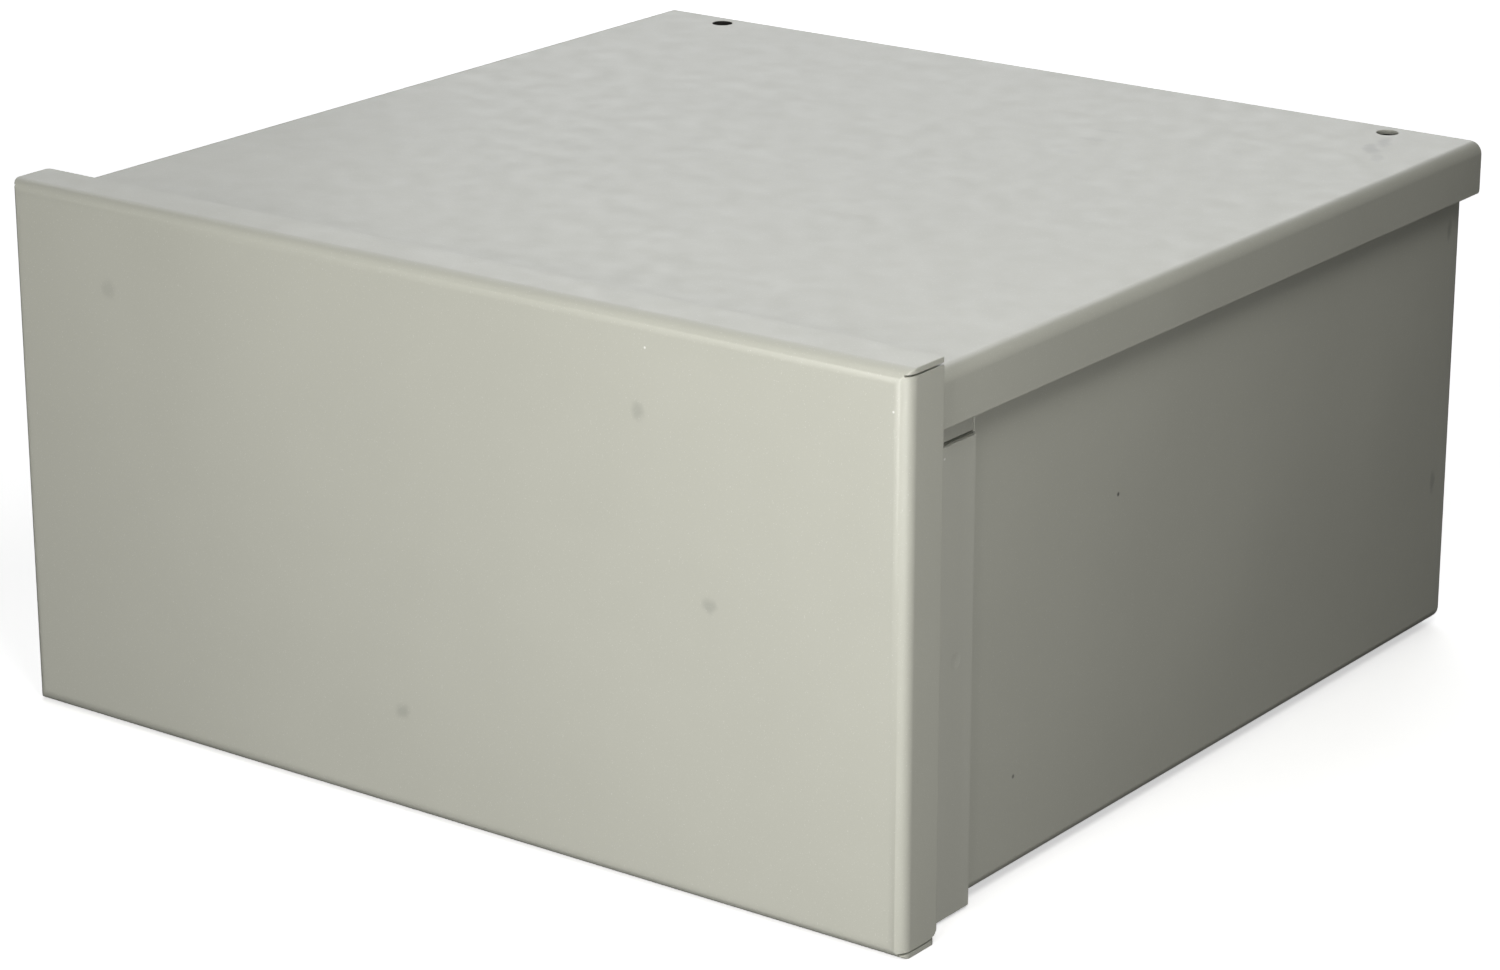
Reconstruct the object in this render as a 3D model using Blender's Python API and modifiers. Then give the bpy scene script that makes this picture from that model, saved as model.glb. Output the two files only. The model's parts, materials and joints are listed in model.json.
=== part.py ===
"""Rainproof residential load center, lying on its back with its cover upward.

Frame: metres, +Z out of the cover, -Y towards the drip shield (the end that is
up on the wall), +X across the width, origin under the middle of the box.
Every enclosure sheet is 16 gauge steel. A 0.3 mm gap parts touching pieces.
"""
import math

import bmesh
import bpy
from mathutils import Matrix, Vector

MM = 0.001
GAP = 0.3 * MM
INCH = 25.4 * MM
SHEET = 1.5 * MM
BEYOND = 10.0 * MM          # how far a cutter runs past the wall it cuts

# Drip shield
CAP_WIDTH = 320.0 * MM
CAP_HEIGHT = 163.7 * MM
CAP_DEPTH = 16.8 * MM
CAP_BEND = 4.5 * MM
CAP_SLIT = 0.6 * MM

# Body
OVERALL_LENGTH = 314.4 * MM
BODY_WIDTH = 12 * INCH
BODY_LENGTH = 12 * INCH
BACK_Z = 2.5 * MM
BODY_TOP = 156.0 * MM
BODY_BEND = 3.5 * MM
LIP = 14.0 * MM
STRIP_END = 40.7 * MM       # from the drip shield's face
STRIP_BOTTOM = 0.9 * MM
STRIP_TOP = 135.5 * MM
NOTCH_LENGTH = 42.4 * MM
TAB_BOTTOM = 133.5 * MM     # where the tabs join the wall
TAB_SUNK = 0.3 * MM
END_FLANGE = 16.0 * MM
DRAIN_X = 80.0 * MM
DRAIN_R = 2.5 * MM

# Wall feet, on the 9 inch pattern of their screws
FOOT_REACH = 4.5 * INCH
FOOT_R = 12.0 * MM
FOOT_FLARE = 3.0 * MM
FOOT_HOLE_R = 4.0 * MM

# Cover
COVER_WIDTH = 315.6 * MM
COVER_TOP = 158.7 * MM
COVER_SKIRT = 16.2 * MM
COVER_BEND = 4.0 * MM
COVER_SETBACK = 1.7 * MM
COVER_HOLE_X = 128.6 * MM
COVER_HOLE_INSET = 6.9 * MM
COVER_HOLE_R = 3.35 * MM
FLANGE_HOLE_R = 3.2 * MM
CLIP_LEAF = 0.6 * MM
CLIP_WIDTH = 14.0 * MM
CLIP_BARREL_R = 3.6 * MM
CLIP_THREAD_R = 2.1 * MM

# Interior pan and base
PAN_TOP = 18.0 * MM
PAN_HALF = 80.0 * MM
PAN_FOOT = 17.0 * MM
PAN_RUN = (-78.0 * MM, 92.0 * MM)
PAN_SCREW_X = 89.0 * MM
PAN_SCREW_Y = (-66.0 * MM, 82.0 * MM)
PAN_SCREW_HOLE_R = 2.6 * MM
BACK_SCREW_HOLE_R = 2.2 * MM
SCREW_SHANK_R = 1.8 * MM
BASE_HALF = 78.0 * MM
BASE_RUN = (-72.0 * MM, 84.0 * MM)
BASE_SLAB_TOP = 28.0 * MM
BASE_RAIL_X = (69.0 * MM, 77.0 * MM)
BASE_BLOCK_HALF = 31.0 * MM
BARRIER_TOP = 60.0 * MM
BARRIER_RUN = (-69.0 * MM, -36.0 * MM)

# Bus bars and line lugs
BUS_Z = 38.7 * MM
BUS_THICK = 3.0 * MM
BUS_X = (9.0 * MM, 27.0 * MM)
BUS_START = -66.0 * MM
STAB_THICK = 2.0 * MM
STAB_HALF = 25.0 * MM
STAB_TOP = 56.0 * MM
STAB_LIFT = 2.5 * MM
LUG_SIZE = (18.0 * MM, 26.0 * MM, 25.0 * MM)
LUG_WIRE_R = 6.5 * MM
LUG_WIRE_UP = 9.0 * MM
LUG_THREAD_R = 5.3 * MM
LUG_SCREW_R = 5.0 * MM

# Breakers
ROWS = 4
PITCH = INCH
FIRST_ROW_Y = -20.0 * MM
BREAKER_INNER = 3.0 * MM
BREAKER_OUTER = 80.0 * MM
BREAKER_BOTTOM = 42.6 * MM
BREAKER_SHOULDER = 88.5 * MM
BREAKER_NOSE = 96.5 * MM
NOSE_X = (24.0 * MM, 60.0 * MM)
LEDGE_X = 64.0 * MM
LEDGE_Z = 70.0 * MM
PIVOT_X = 42.0 * MM
PIVOT_Z = 90.0 * MM
BARREL_R = 6.5 * MM
BARREL_PLAY = 0.4 * MM
HANDLE_SLOT_HALF = 9.5 * MM
HANDLE_WIDTH = 11.0 * MM
LEVER_REACH = 19.0 * MM
LEVER_HALF = 2.6 * MM
TOGGLE_TILT = 22.0          # degrees each side of upright
TERMINAL_SCREW_R = 4.4 * MM
WIRE_PORT_HALF = 4.0 * MM

# Neutral and ground bars
BAR_SCREW_R = 2.7 * MM
BAR_THREAD_R = 3.0 * MM
NEUTRAL_X = -115.0 * MM
NEUTRAL_Z = 20.3 * MM
NEUTRAL_BAR = (12.0 * MM, 12.0 * MM)
NEUTRAL_RUN = (-36.0 * MM, 54.0 * MM)
NEUTRAL_SCREWS = [(18 * number - 18) * MM for number in range(4)]
NEUTRAL_BORE_R = 2.5 * MM
NEUTRAL_LUG_RUN = (-58.0 * MM, -34.0 * MM)
NEUTRAL_LUG_HEIGHT = 24.0 * MM
NEUTRAL_LUG_BORE_R = 6.0 * MM
GROUND_X = 116.0 * MM
GROUND_BAR = (11.0 * MM, 80.0 * MM, 11.0 * MM)
GROUND_SCREWS = [24 * number * MM for number in (-1, 0, 1)]
GROUND_BORE_R = 2.8 * MM

# Dead front
DEAD_FRONT_Z = 89.1 * MM
DEAD_FRONT_THICK = 1.2 * MM
DEAD_FRONT_X = 146.0 * MM
DEAD_FRONT_RUN = (-128.0 * MM, 136.0 * MM)
WINDOW_PLAY = 0.6 * MM
RAIL_LEDGE = 16.0 * MM
RAIL_LOW = 60.0 * MM
RAIL_RUN = (-106.0 * MM, 132.0 * MM)
FRONT_SCREW_X = 142.0 * MM
FRONT_SCREW_Y = (-92.0 * MM, 118.0 * MM)

# Worked out from the above
FRONT_Y = -OVERALL_LENGTH / 2
END_Y = OVERALL_LENGTH / 2
CAP_REAR_Y = FRONT_Y + CAP_DEPTH
WALL_Y = END_Y - BODY_LENGTH
SIDE_X = BODY_WIDTH / 2
SIDE_INNER = SIDE_X - SHEET
BACK_INNER = BACK_Z + SHEET
NOTCH_Y = FRONT_Y + NOTCH_LENGTH
FOOT_MIDDLE_Y = (WALL_Y + END_Y) / 2
COVER_HOLE_Y = END_Y - COVER_HOLE_INSET
PAN_FOOT_TOP = BACK_INNER + GAP + SHEET

# Outward axes, used to name the faces of a folded box
LEFT, RIGHT = (-1, 0, 0), (1, 0, 0)
NEAR, FAR = (0, -1, 0), (0, 1, 0)
DOWN, UP = (0, 0, -1), (0, 0, 1)

# Name, colour, roughness and metallic value of each material
PAINT = ("grey powder coat", (0.50, 0.50, 0.45), 0.42, 0.0)
ZINC = ("zinc plate", (0.62, 0.62, 0.60), 0.35, 1.0)
ALUMINIUM = ("aluminium", (0.78, 0.78, 0.80), 0.32, 1.0)
STEEL = ("screw steel", (0.45, 0.45, 0.44), 0.38, 1.0)
BLACK = ("black plastic", (0.018, 0.018, 0.02), 0.45, 0.0)
DARK = ("dark base plastic", (0.06, 0.06, 0.065), 0.55, 0.0)
WHITE = ("ivory plastic", (0.72, 0.70, 0.64), 0.5, 0.0)


# -------------------------------------------------------------------- tools

def new_collection(name):
    collection = bpy.data.collections.new(name)
    bpy.context.scene.collection.children.link(collection)
    return collection


def empty_scene():
    for item in list(bpy.data.objects):
        bpy.data.objects.remove(item, do_unlink=True)


def dress(item, look):
    """Give an object a Principled material of its own."""
    label, colour, rough, metal = look
    material = bpy.data.materials.new(item.name + " " + label)
    material.use_nodes = True
    shader = material.node_tree.nodes["Principled BSDF"]
    shader.inputs["Base Color"].default_value = (*colour, 1.0)
    shader.inputs["Roughness"].default_value = rough
    shader.inputs["Metallic"].default_value = metal
    item.data.materials.append(material)


def add_object(name, bm, look=None, origin=(0, 0, 0)):
    """Turn a bmesh into a part, or into a cutter when it has no look."""
    bmesh.ops.translate(bm, verts=bm.verts, vec=-Vector(origin))
    mesh = bpy.data.meshes.new(name)
    bm.to_mesh(mesh)
    bm.free()
    item = bpy.data.objects.new(name, mesh)
    item.location = origin
    if look is None:
        bpy.data.collections["cutters"].objects.link(item)
        item.hide_render = True
        item.display_type = "WIRE"
    else:
        bpy.data.collections["load_center"].objects.link(item)
        dress(item, look)
    return item


def put_box(bm, low, high):
    """Add a closed box between two corners."""
    low, high = Vector(low), Vector(high)
    place = Matrix.Translation((low + high) / 2) @ Matrix.Diagonal((*(high - low), 1.0))
    return bmesh.ops.create_cube(bm, size=1.0, matrix=place)["verts"]


def put_cylinder(bm, base, axis, length, radius, end_radius=None, segments=24):
    """Add a closed cylinder or cone that starts at base and runs along axis."""
    axis = Vector(axis)
    turn = axis.to_track_quat("Z", "Y").to_matrix().to_4x4()
    place = Matrix.Translation(Vector(base) + axis * length / 2) @ turn
    bmesh.ops.create_cone(bm, cap_ends=True, segments=segments, radius1=radius,
                          radius2=end_radius or radius, depth=length, matrix=place)


def put_bore(bm, middle, axis, length, radius, segments=24):
    """Add a cylinder centred on a point, as a cutter for a through hole."""
    base = Vector(middle) - Vector(axis) * length / 2
    put_cylinder(bm, base, axis, length, radius, segments=segments)


def boolean(item, other, kind):
    step = item.modifiers.new(kind.lower(), "BOOLEAN")
    step.operation = kind
    step.object = other
    step.solver = "EXACT"


def cut(item, bm, name):
    boolean(item, add_object(item.name + "_" + name, bm), "DIFFERENCE")


def join(item, bm, name):
    boolean(item, add_object(item.name + "_" + name, bm), "UNION")


def across(side, near, far):
    """Low and high x of a stretch that lies on one side of the middle."""
    return sorted((side * near, side * far))


def thicken(item, thickness, offset):
    """Give an open surface the thickness of its sheet."""
    sheet = item.modifiers.new("sheet", "SOLIDIFY")
    sheet.thickness = thickness
    sheet.offset = offset
    sheet.use_even_offset = True


def fold(bm, pairs, radius):
    """Round the edge between each pair of outward axes."""
    wanted = [{one, two} for one, two in pairs]
    edges = []
    for edge in bm.edges:
        faces = {tuple(round(c) for c in face.normal) for face in edge.link_faces}
        if faces in wanted:
            edges.append(edge)
    bmesh.ops.bevel(bm, geom=edges, offset=radius, segments=4, profile=0.5, affect="EDGES",
                    clamp_overlap=True)


def shell(name, low, high, open_faces, folds, radius, look):
    """Open box of folded sheet, from its outer corners.

    open_faces lists the outward axes left out. folds lists the pairs of
    outward axes whose shared edge is rounded, and radius is its outer radius.
    """
    bm = bmesh.new()
    put_box(bm, low, high)
    bm.normal_update()
    gone = [f for f in bm.faces if tuple(round(c) for c in f.normal) in open_faces]
    bmesh.ops.delete(bm, geom=gone, context="FACES")
    fold(bm, folds, radius)
    item = add_object(name, bm, look)
    thicken(item, SHEET, -1.0)
    return item


def bent_sheet(name, points, step, thickness, radius, look, offset):
    """Open profile of points, folded at its inner points and drawn out by step."""
    bm = bmesh.new()
    ring = [bm.verts.new(point) for point in points]
    edges = [bm.edges.new(pair) for pair in zip(ring, ring[1:])]
    drawn = bmesh.ops.extrude_edge_only(bm, edges=edges)["geom"]
    moved = [g for g in drawn if isinstance(g, bmesh.types.BMVert)]
    bmesh.ops.translate(bm, verts=moved, vec=step)
    folds = [e for e in bm.edges if len(e.link_faces) == 2]
    bmesh.ops.bevel(bm, geom=folds, offset=radius, segments=3, profile=0.5, affect="EDGES")
    item = add_object(name, bm, look)
    thicken(item, thickness, offset)
    return item


def slotted_screw(name, place, radius, height, shank=0.0):
    """Screw head standing on place, with a driver slot and perhaps a shank below."""
    x, y, z = place
    bm = bmesh.new()
    put_cylinder(bm, place, UP, height, radius, 0.9 * radius, segments=20)
    item = add_object(name, bm, STEEL, origin=place)
    if shank:
        stem = bmesh.new()
        put_cylinder(stem, (x, y, z - shank), UP, shank + 0.5 * MM, SCREW_SHANK_R, segments=12)
        join(item, stem, "shank")
    slot = bmesh.new()
    put_box(slot, (x - 2 * radius, y - 0.6 * MM, z + 0.55 * height),
            (x + 2 * radius, y + 0.6 * MM, z + 2 * height))
    cut(item, slot, "slot")


# ---------------------------------------------------------------- enclosure

def body_shell():
    """Back, two sides and the returns around the far end, folded in one."""
    start = WALL_Y + BODY_BEND + GAP
    folds = [(side, face) for side in (LEFT, RIGHT) for face in (DOWN, UP, FAR)]
    folds += [(UP, FAR), (DOWN, FAR)]
    item = shell("body_shell", (-SIDE_X, start, BACK_Z), (SIDE_X, END_Y, BODY_TOP),
                 [NEAR], folds, BODY_BEND, PAINT)
    inner_x = SIDE_X - LIP
    window = bmesh.new()
    put_box(window, (-inner_x, start - BEYOND, BODY_TOP - LIP / 2),
            (inner_x, END_Y - LIP, BODY_TOP + BEYOND))
    cut(item, window, "front_window")
    window = bmesh.new()
    put_box(window, (-inner_x, END_Y - LIP / 2, BACK_Z + LIP),
            (inner_x, END_Y + BEYOND, BODY_TOP - LIP))
    cut(item, window, "end_window")
    notches = bmesh.new()
    for side in (-1, 1):
        low_x, high_x = across(side, inner_x - 2 * MM, SIDE_X + BEYOND)
        put_box(notches, (low_x, start - BEYOND, STRIP_TOP), (high_x, NOTCH_Y, BODY_TOP + BEYOND))
    cut(item, notches, "notches")
    add_wall_feet(item)
    cut(item, body_holes(), "holes")


def foot_places():
    return [(sx * FOOT_REACH, FOOT_MIDDLE_Y + sy * FOOT_REACH) for sx in (-1, 1) for sy in (-1, 1)]


def add_wall_feet(item):
    """Emboss four feet into the back, level with the drip shield's edge."""
    raised, hollow = bmesh.new(), bmesh.new()
    for x, y in foot_places():
        put_cylinder(raised, (x, y, 0), UP, BACK_Z + 0.5 * MM, FOOT_R, FOOT_R + FOOT_FLARE)
        put_cylinder(hollow, (x, y, SHEET), UP, BACK_INNER, FOOT_R - 1.2 * MM,
                     FOOT_R + 1.15 * FOOT_FLARE)
    join(item, raised, "feet")
    cut(item, hollow, "foot_hollows")


def body_holes():
    """Wall-screw holes, pan-screw holes and the holes under the cover's screws."""
    holes = bmesh.new()
    for x, y in foot_places():
        put_bore(holes, (x, y, BACK_Z), UP, 2 * BEYOND, FOOT_HOLE_R)
    for x, y in pan_screw_places():
        put_bore(holes, (x, y, BACK_Z), UP, 2 * BEYOND, BACK_SCREW_HOLE_R, segments=16)
    for x in (-COVER_HOLE_X, COVER_HOLE_X):
        put_bore(holes, (x, COVER_HOLE_Y, BODY_TOP), UP, BEYOND, FLANGE_HOLE_R, segments=16)
    return holes


def top_end_wall():
    """Wall under the drip shield, its outer flanges lapped over both sides.

    The outer flanges stop below the cover. Above them a pair of tabs fills
    the notches in the sides, a little below their surface.
    """
    wall_faces = [UP, DOWN, FAR]
    folds = [(LEFT, NEAR), (RIGHT, NEAR)]
    lap_x, tab_x = SIDE_X + GAP + SHEET, SIDE_X - TAB_SUNK
    item = shell("top_end_wall", (-lap_x, WALL_Y, STRIP_BOTTOM),
                 (lap_x, FRONT_Y + STRIP_END, STRIP_TOP), wall_faces, folds, BODY_BEND, PAINT)
    tabs = shell("top_end_wall_tabs", (-tab_x, WALL_Y, TAB_BOTTOM),
                 (tab_x, NOTCH_Y - GAP, BODY_TOP - 0.5 * MM), wall_faces, folds, BODY_BEND, None)
    boolean(item, tabs, "UNION")
    clearances = bmesh.new()
    for side in (-1, 1):
        low_x, high_x = across(side, tab_x - SHEET - MM, SIDE_X + GAP / 2)
        put_box(clearances, (low_x, WALL_Y + BODY_BEND, TAB_BOTTOM - MM),
                (high_x, NOTCH_Y + MM, STRIP_TOP + GAP))
    put_box(clearances, (-CAP_WIDTH / 2, FRONT_Y, -MM),
            (CAP_WIDTH / 2, CAP_REAR_Y + GAP, SHEET + GAP))
    cut(item, clearances, "clearances")


def bottom_end_wall():
    """Plate welded inside the returns, with side flanges and two drain holes."""
    outer = END_Y - SHEET - GAP
    reach = SIDE_INNER - GAP
    low, high = BACK_INNER + BODY_BEND, BODY_TOP - SHEET - BODY_BEND
    item = shell("bottom_end_wall", (-reach, outer - END_FLANGE, low), (reach, outer, high),
                 [UP, DOWN, NEAR], [(LEFT, FAR), (RIGHT, FAR)], BODY_BEND, PAINT)
    drains = bmesh.new()
    for x in (-DRAIN_X, DRAIN_X):
        put_bore(drains, (x, outer, BACK_Z + LIP + 5 * MM), FAR, 2 * BEYOND, DRAIN_R, segments=12)
    cut(item, drains, "drains")


def drip_cap():
    """Drip shield: a face with four folded flanges, open at the corners."""
    half = CAP_WIDTH / 2
    item = shell("drip_cap", (-half, FRONT_Y, 0), (half, CAP_REAR_Y, CAP_HEIGHT),
                 [FAR], [(side, NEAR) for side in (LEFT, RIGHT, UP, DOWN)], CAP_BEND, PAINT)
    slits = bmesh.new()
    for side in (-1, 1):
        low_x, high_x = across(side, half - SHEET - 0.4 * MM, half + 2 * MM)
        for z in (SHEET, CAP_HEIGHT - SHEET - CAP_SLIT):
            put_box(slits, (low_x, FRONT_Y + MM, z),
                    (high_x, CAP_REAR_Y + 2 * MM, z + CAP_SLIT))
    cut(item, slits, "corner_slits")


def front_cover():
    """Slip-on cover: a plate with a skirt down each side and two screw holes."""
    half = COVER_WIDTH / 2
    item = shell("front_cover", (-half, FRONT_Y + SHEET + COVER_SETBACK, COVER_TOP - COVER_SKIRT),
                 (half, END_Y, COVER_TOP), [DOWN, NEAR, FAR], [(LEFT, UP), (RIGHT, UP)],
                 COVER_BEND, PAINT)
    holes = bmesh.new()
    for x in (-COVER_HOLE_X, COVER_HOLE_X):
        put_bore(holes, (x, COVER_HOLE_Y, COVER_TOP), UP, BEYOND, COVER_HOLE_R, segments=32)
    cut(item, holes, "holes")


def clip_nut(number, x):
    """Spring clip nut pushed over the flange under a cover hole."""
    top = BODY_TOP + GAP + CLIP_LEAF
    low = BODY_TOP - SHEET - GAP - CLIP_LEAF
    back = END_Y - LIP - GAP - CLIP_LEAF
    tip = END_Y - BODY_BEND - CLIP_LEAF
    left = x - CLIP_WIDTH / 2
    points = [(left, tip + MM, top), (left, back, top), (left, back, low), (left, tip, low)]
    item = bent_sheet("clip_nut_%d" % number, points, (CLIP_WIDTH, 0, 0), CLIP_LEAF, 0.5 * MM,
                      ZINC, offset=1.0)
    barrel, thread = bmesh.new(), bmesh.new()
    hole_y = COVER_HOLE_Y - MM
    put_cylinder(barrel, (x, hole_y, low - 3.5 * MM), UP, 3.8 * MM, CLIP_BARREL_R, segments=16)
    put_bore(thread, (x, hole_y, low), UP, 2 * BEYOND, CLIP_THREAD_R, segments=16)
    join(item, barrel, "barrel")
    cut(item, thread, "thread")


# ----------------------------------------------------------------- interior

def row_y(row):
    return FIRST_ROW_Y + row * PITCH


def pan_screw_places():
    return [(x, y) for x in (-PAN_SCREW_X, PAN_SCREW_X) for y in PAN_SCREW_Y]


def interior_pan():
    """Hat-shaped steel pan that carries the insulating base, and its screws."""
    start, end = PAN_RUN
    outer = PAN_HALF + PAN_FOOT
    profile = [(-outer, PAN_FOOT_TOP), (-PAN_HALF, PAN_FOOT_TOP), (-PAN_HALF, PAN_TOP),
               (PAN_HALF, PAN_TOP), (PAN_HALF, PAN_FOOT_TOP), (outer, PAN_FOOT_TOP)]
    item = bent_sheet("interior_pan", [(x, start, z) for x, z in profile], (0, end - start, 0),
                      SHEET, 1.2 * MM, ZINC, offset=1.0)
    holes = bmesh.new()
    head_z = PAN_FOOT_TOP + GAP
    for number, (x, y) in enumerate(pan_screw_places(), start=1):
        put_bore(holes, (x, y, PAN_FOOT_TOP), UP, BEYOND, PAN_SCREW_HOLE_R, segments=16)
        slotted_screw("pan_screw_%d" % number, (x, y, head_z), 4.2 * MM, 2.6 * MM,
                      shank=head_z - BACK_Z - 0.2 * MM)
    cut(item, holes, "holes")


def base_insulator():
    """Moulded base: a slab with outer rails, a middle block and a barrier."""
    start, end = BASE_RUN
    bm = bmesh.new()
    put_box(bm, (-BASE_HALF, start, PAN_TOP + GAP), (BASE_HALF, end, BASE_SLAB_TOP))
    item = add_object("base_insulator", bm, DARK)
    first, last = row_y(0) - PITCH / 2, row_y(ROWS - 1) + PITCH / 2
    root = BASE_SLAB_TOP - MM
    ribs = bmesh.new()
    put_box(ribs, (-BASE_BLOCK_HALF, start + MM, root), (BASE_BLOCK_HALF, end - 4 * MM, BUS_Z - GAP))
    for side in (-1, 1):
        low_x, high_x = across(side, *BASE_RAIL_X)
        put_box(ribs, (low_x, first, root), (high_x, last, BREAKER_BOTTOM - GAP))
    join(item, ribs, "ribs")
    barrier = bmesh.new()
    put_box(barrier, (-2 * MM, BARRIER_RUN[0], BUS_Z - 2 * MM),
            (2 * MM, BARRIER_RUN[1], BARRIER_TOP))
    join(item, barrier, "barrier")


def bus_bar(letter, side, rows):
    """Flat bar with a stab blade for every other row of breakers."""
    low_x, high_x = across(side, *BUS_X)
    top = BUS_Z + BUS_THICK
    bm = bmesh.new()
    put_box(bm, (low_x, BUS_START, BUS_Z), (high_x, row_y(ROWS - 1) + 8 * MM, top))
    item = add_object("bus_bar_" + letter, bm, ALUMINIUM)
    blades, feet = bmesh.new(), bmesh.new()
    for row in rows:
        near, far = row_y(row) - STAB_THICK / 2, row_y(row) + STAB_THICK / 2
        put_box(blades, (-STAB_HALF, near, top + STAB_LIFT), (STAB_HALF, far, STAB_TOP))
        put_box(feet, (low_x + MM, near, BUS_Z + MM), (high_x - 3 * MM, far, STAB_TOP - 4 * MM))
    join(item, feet, "feet")
    join(item, blades, "blades")


def line_lug(number, side):
    """Aluminium lug for an incoming conductor, clamped by a set screw."""
    width, length, height = LUG_SIZE
    x = side * sum(BUS_X) / 2
    y = BUS_START + length / 2
    low = BUS_Z + BUS_THICK + GAP
    bm = bmesh.new()
    put_box(bm, (x - width / 2, BUS_START, low), (x + width / 2, BUS_START + length, low + height))
    item = add_object("line_lug_%d" % number, bm, ALUMINIUM)
    wire, thread = bmesh.new(), bmesh.new()
    put_bore(wire, (x, y, low + LUG_WIRE_UP), FAR, length + 2 * BEYOND, LUG_WIRE_R)
    cut(item, wire, "wire_hole")
    put_cylinder(thread, (x, y, low + height / 2), UP, height, LUG_THREAD_R)
    cut(item, thread, "thread")
    slotted_screw("line_lug_screw_%d" % number, (x, y, low + 16.5 * MM), LUG_SCREW_R, 11 * MM)


def breaker_outline():
    """Side view of a breaker as (x, z) points, from its inner lower corner."""
    nose_inner, nose_outer = NOSE_X
    return [(BREAKER_INNER, BREAKER_BOTTOM), (BREAKER_OUTER, BREAKER_BOTTOM),
            (BREAKER_OUTER, LEDGE_Z), (LEDGE_X, LEDGE_Z), (LEDGE_X, BREAKER_SHOULDER),
            (nose_outer, BREAKER_SHOULDER), (nose_outer, BREAKER_NOSE),
            (nose_inner, BREAKER_NOSE), (nose_inner, BREAKER_SHOULDER),
            (BREAKER_INNER, BREAKER_SHOULDER)]


def handle_width(rows):
    return HANDLE_WIDTH + (len(rows) - 1) * PITCH


def breaker_case(name, side, rows):
    """Moulded case with a nose, a handle slot, stab slots and wire ports."""
    low = row_y(rows[0]) - PITCH / 2 + GAP
    high = row_y(rows[-1]) + PITCH / 2 - GAP
    bm = bmesh.new()
    face = bm.faces.new([bm.verts.new((side * x, low, z)) for x, z in breaker_outline()])
    drawn = bmesh.ops.extrude_face_region(bm, geom=[face])["geom"]
    moved = [g for g in drawn if isinstance(g, bmesh.types.BMVert)]
    bmesh.ops.translate(bm, verts=moved, vec=(0, high - low, 0))
    bmesh.ops.recalc_face_normals(bm, faces=bm.faces)
    item = add_object(name, bm, BLACK)
    middle = (low + high) / 2
    reach = handle_width(rows) / 2 + BARREL_PLAY
    pocket, slot, recesses = bmesh.new(), bmesh.new(), bmesh.new()
    put_bore(pocket, (side * PIVOT_X, middle, PIVOT_Z), FAR, 2 * reach, BARREL_R + BARREL_PLAY)
    cut(item, pocket, "barrel_pocket")
    low_x, high_x = across(side, PIVOT_X - HANDLE_SLOT_HALF, PIVOT_X + HANDLE_SLOT_HALF)
    put_box(slot, (low_x, middle - reach, PIVOT_Z), (high_x, middle + reach, BREAKER_NOSE + BEYOND))
    cut(item, slot, "handle_slot")
    for row in rows:
        y = row_y(row)
        low_x, high_x = across(side, 0, STAB_HALF + 3 * MM)
        put_box(recesses, (low_x, y - 1.6 * MM, BREAKER_BOTTOM - 3 * MM),
                (high_x, y + 1.6 * MM, STAB_TOP + MM))
        low_x, high_x = across(side, BREAKER_OUTER - 12 * MM, BREAKER_OUTER + 3 * MM)
        put_box(recesses, (low_x, y - WIRE_PORT_HALF, LEDGE_Z - 11 * MM),
                (high_x, y + WIRE_PORT_HALF, LEDGE_Z - 4 * MM))
    cut(item, recesses, "recesses")


def toggle(name, side, rows):
    """Handle on a barrel; it rests in the on position, leaning to the middle."""
    width = handle_width(rows)
    pivot = Vector((side * PIVOT_X, (row_y(rows[0]) + row_y(rows[-1])) / 2, PIVOT_Z))
    bm = bmesh.new()
    put_bore(bm, pivot, FAR, width, BARREL_R)
    item = add_object(name, bm, BLACK if len(rows) > 1 else WHITE, origin=pivot)
    lever = bmesh.new()
    corners = put_box(lever, pivot + Vector((-LEVER_HALF, -width / 2, 0)),
                      pivot + Vector((LEVER_HALF, width / 2, LEVER_REACH)))
    for corner in corners:
        if corner.co.z > pivot.z + MM:
            corner.co.x = pivot.x + (corner.co.x - pivot.x) * 0.75
            corner.co.y = pivot.y + (corner.co.y - pivot.y) * 0.9
    arm = add_object(name + "_lever", lever, origin=pivot)
    arm.parent = item
    arm.location = (0, 0, 0)
    boolean(item, arm, "UNION")
    item.rotation_euler = (0, math.radians(-side * TOGGLE_TILT), 0)


def breakers():
    """Four single breakers on the left, two single and one double on the right."""
    plan = [("left", -1, [row]) for row in range(ROWS)]
    plan += [("right", 1, [0]), ("right", 1, [1]), ("right", 1, [2, 3])]
    for column, side, rows in plan:
        label = "%s_%d" % (column, rows[0] + 1)
        breaker_case("breaker_" + label, side, rows)
        toggle("toggle_" + label, side, rows)
        for row in rows:
            place = (side * (LEDGE_X + BREAKER_OUTER) / 2, row_y(row), LEDGE_Z + GAP)
            slotted_screw("terminal_screw_%s_%d" % (column, row + 1), place,
                          TERMINAL_SCREW_R, 3.2 * MM)


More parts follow.
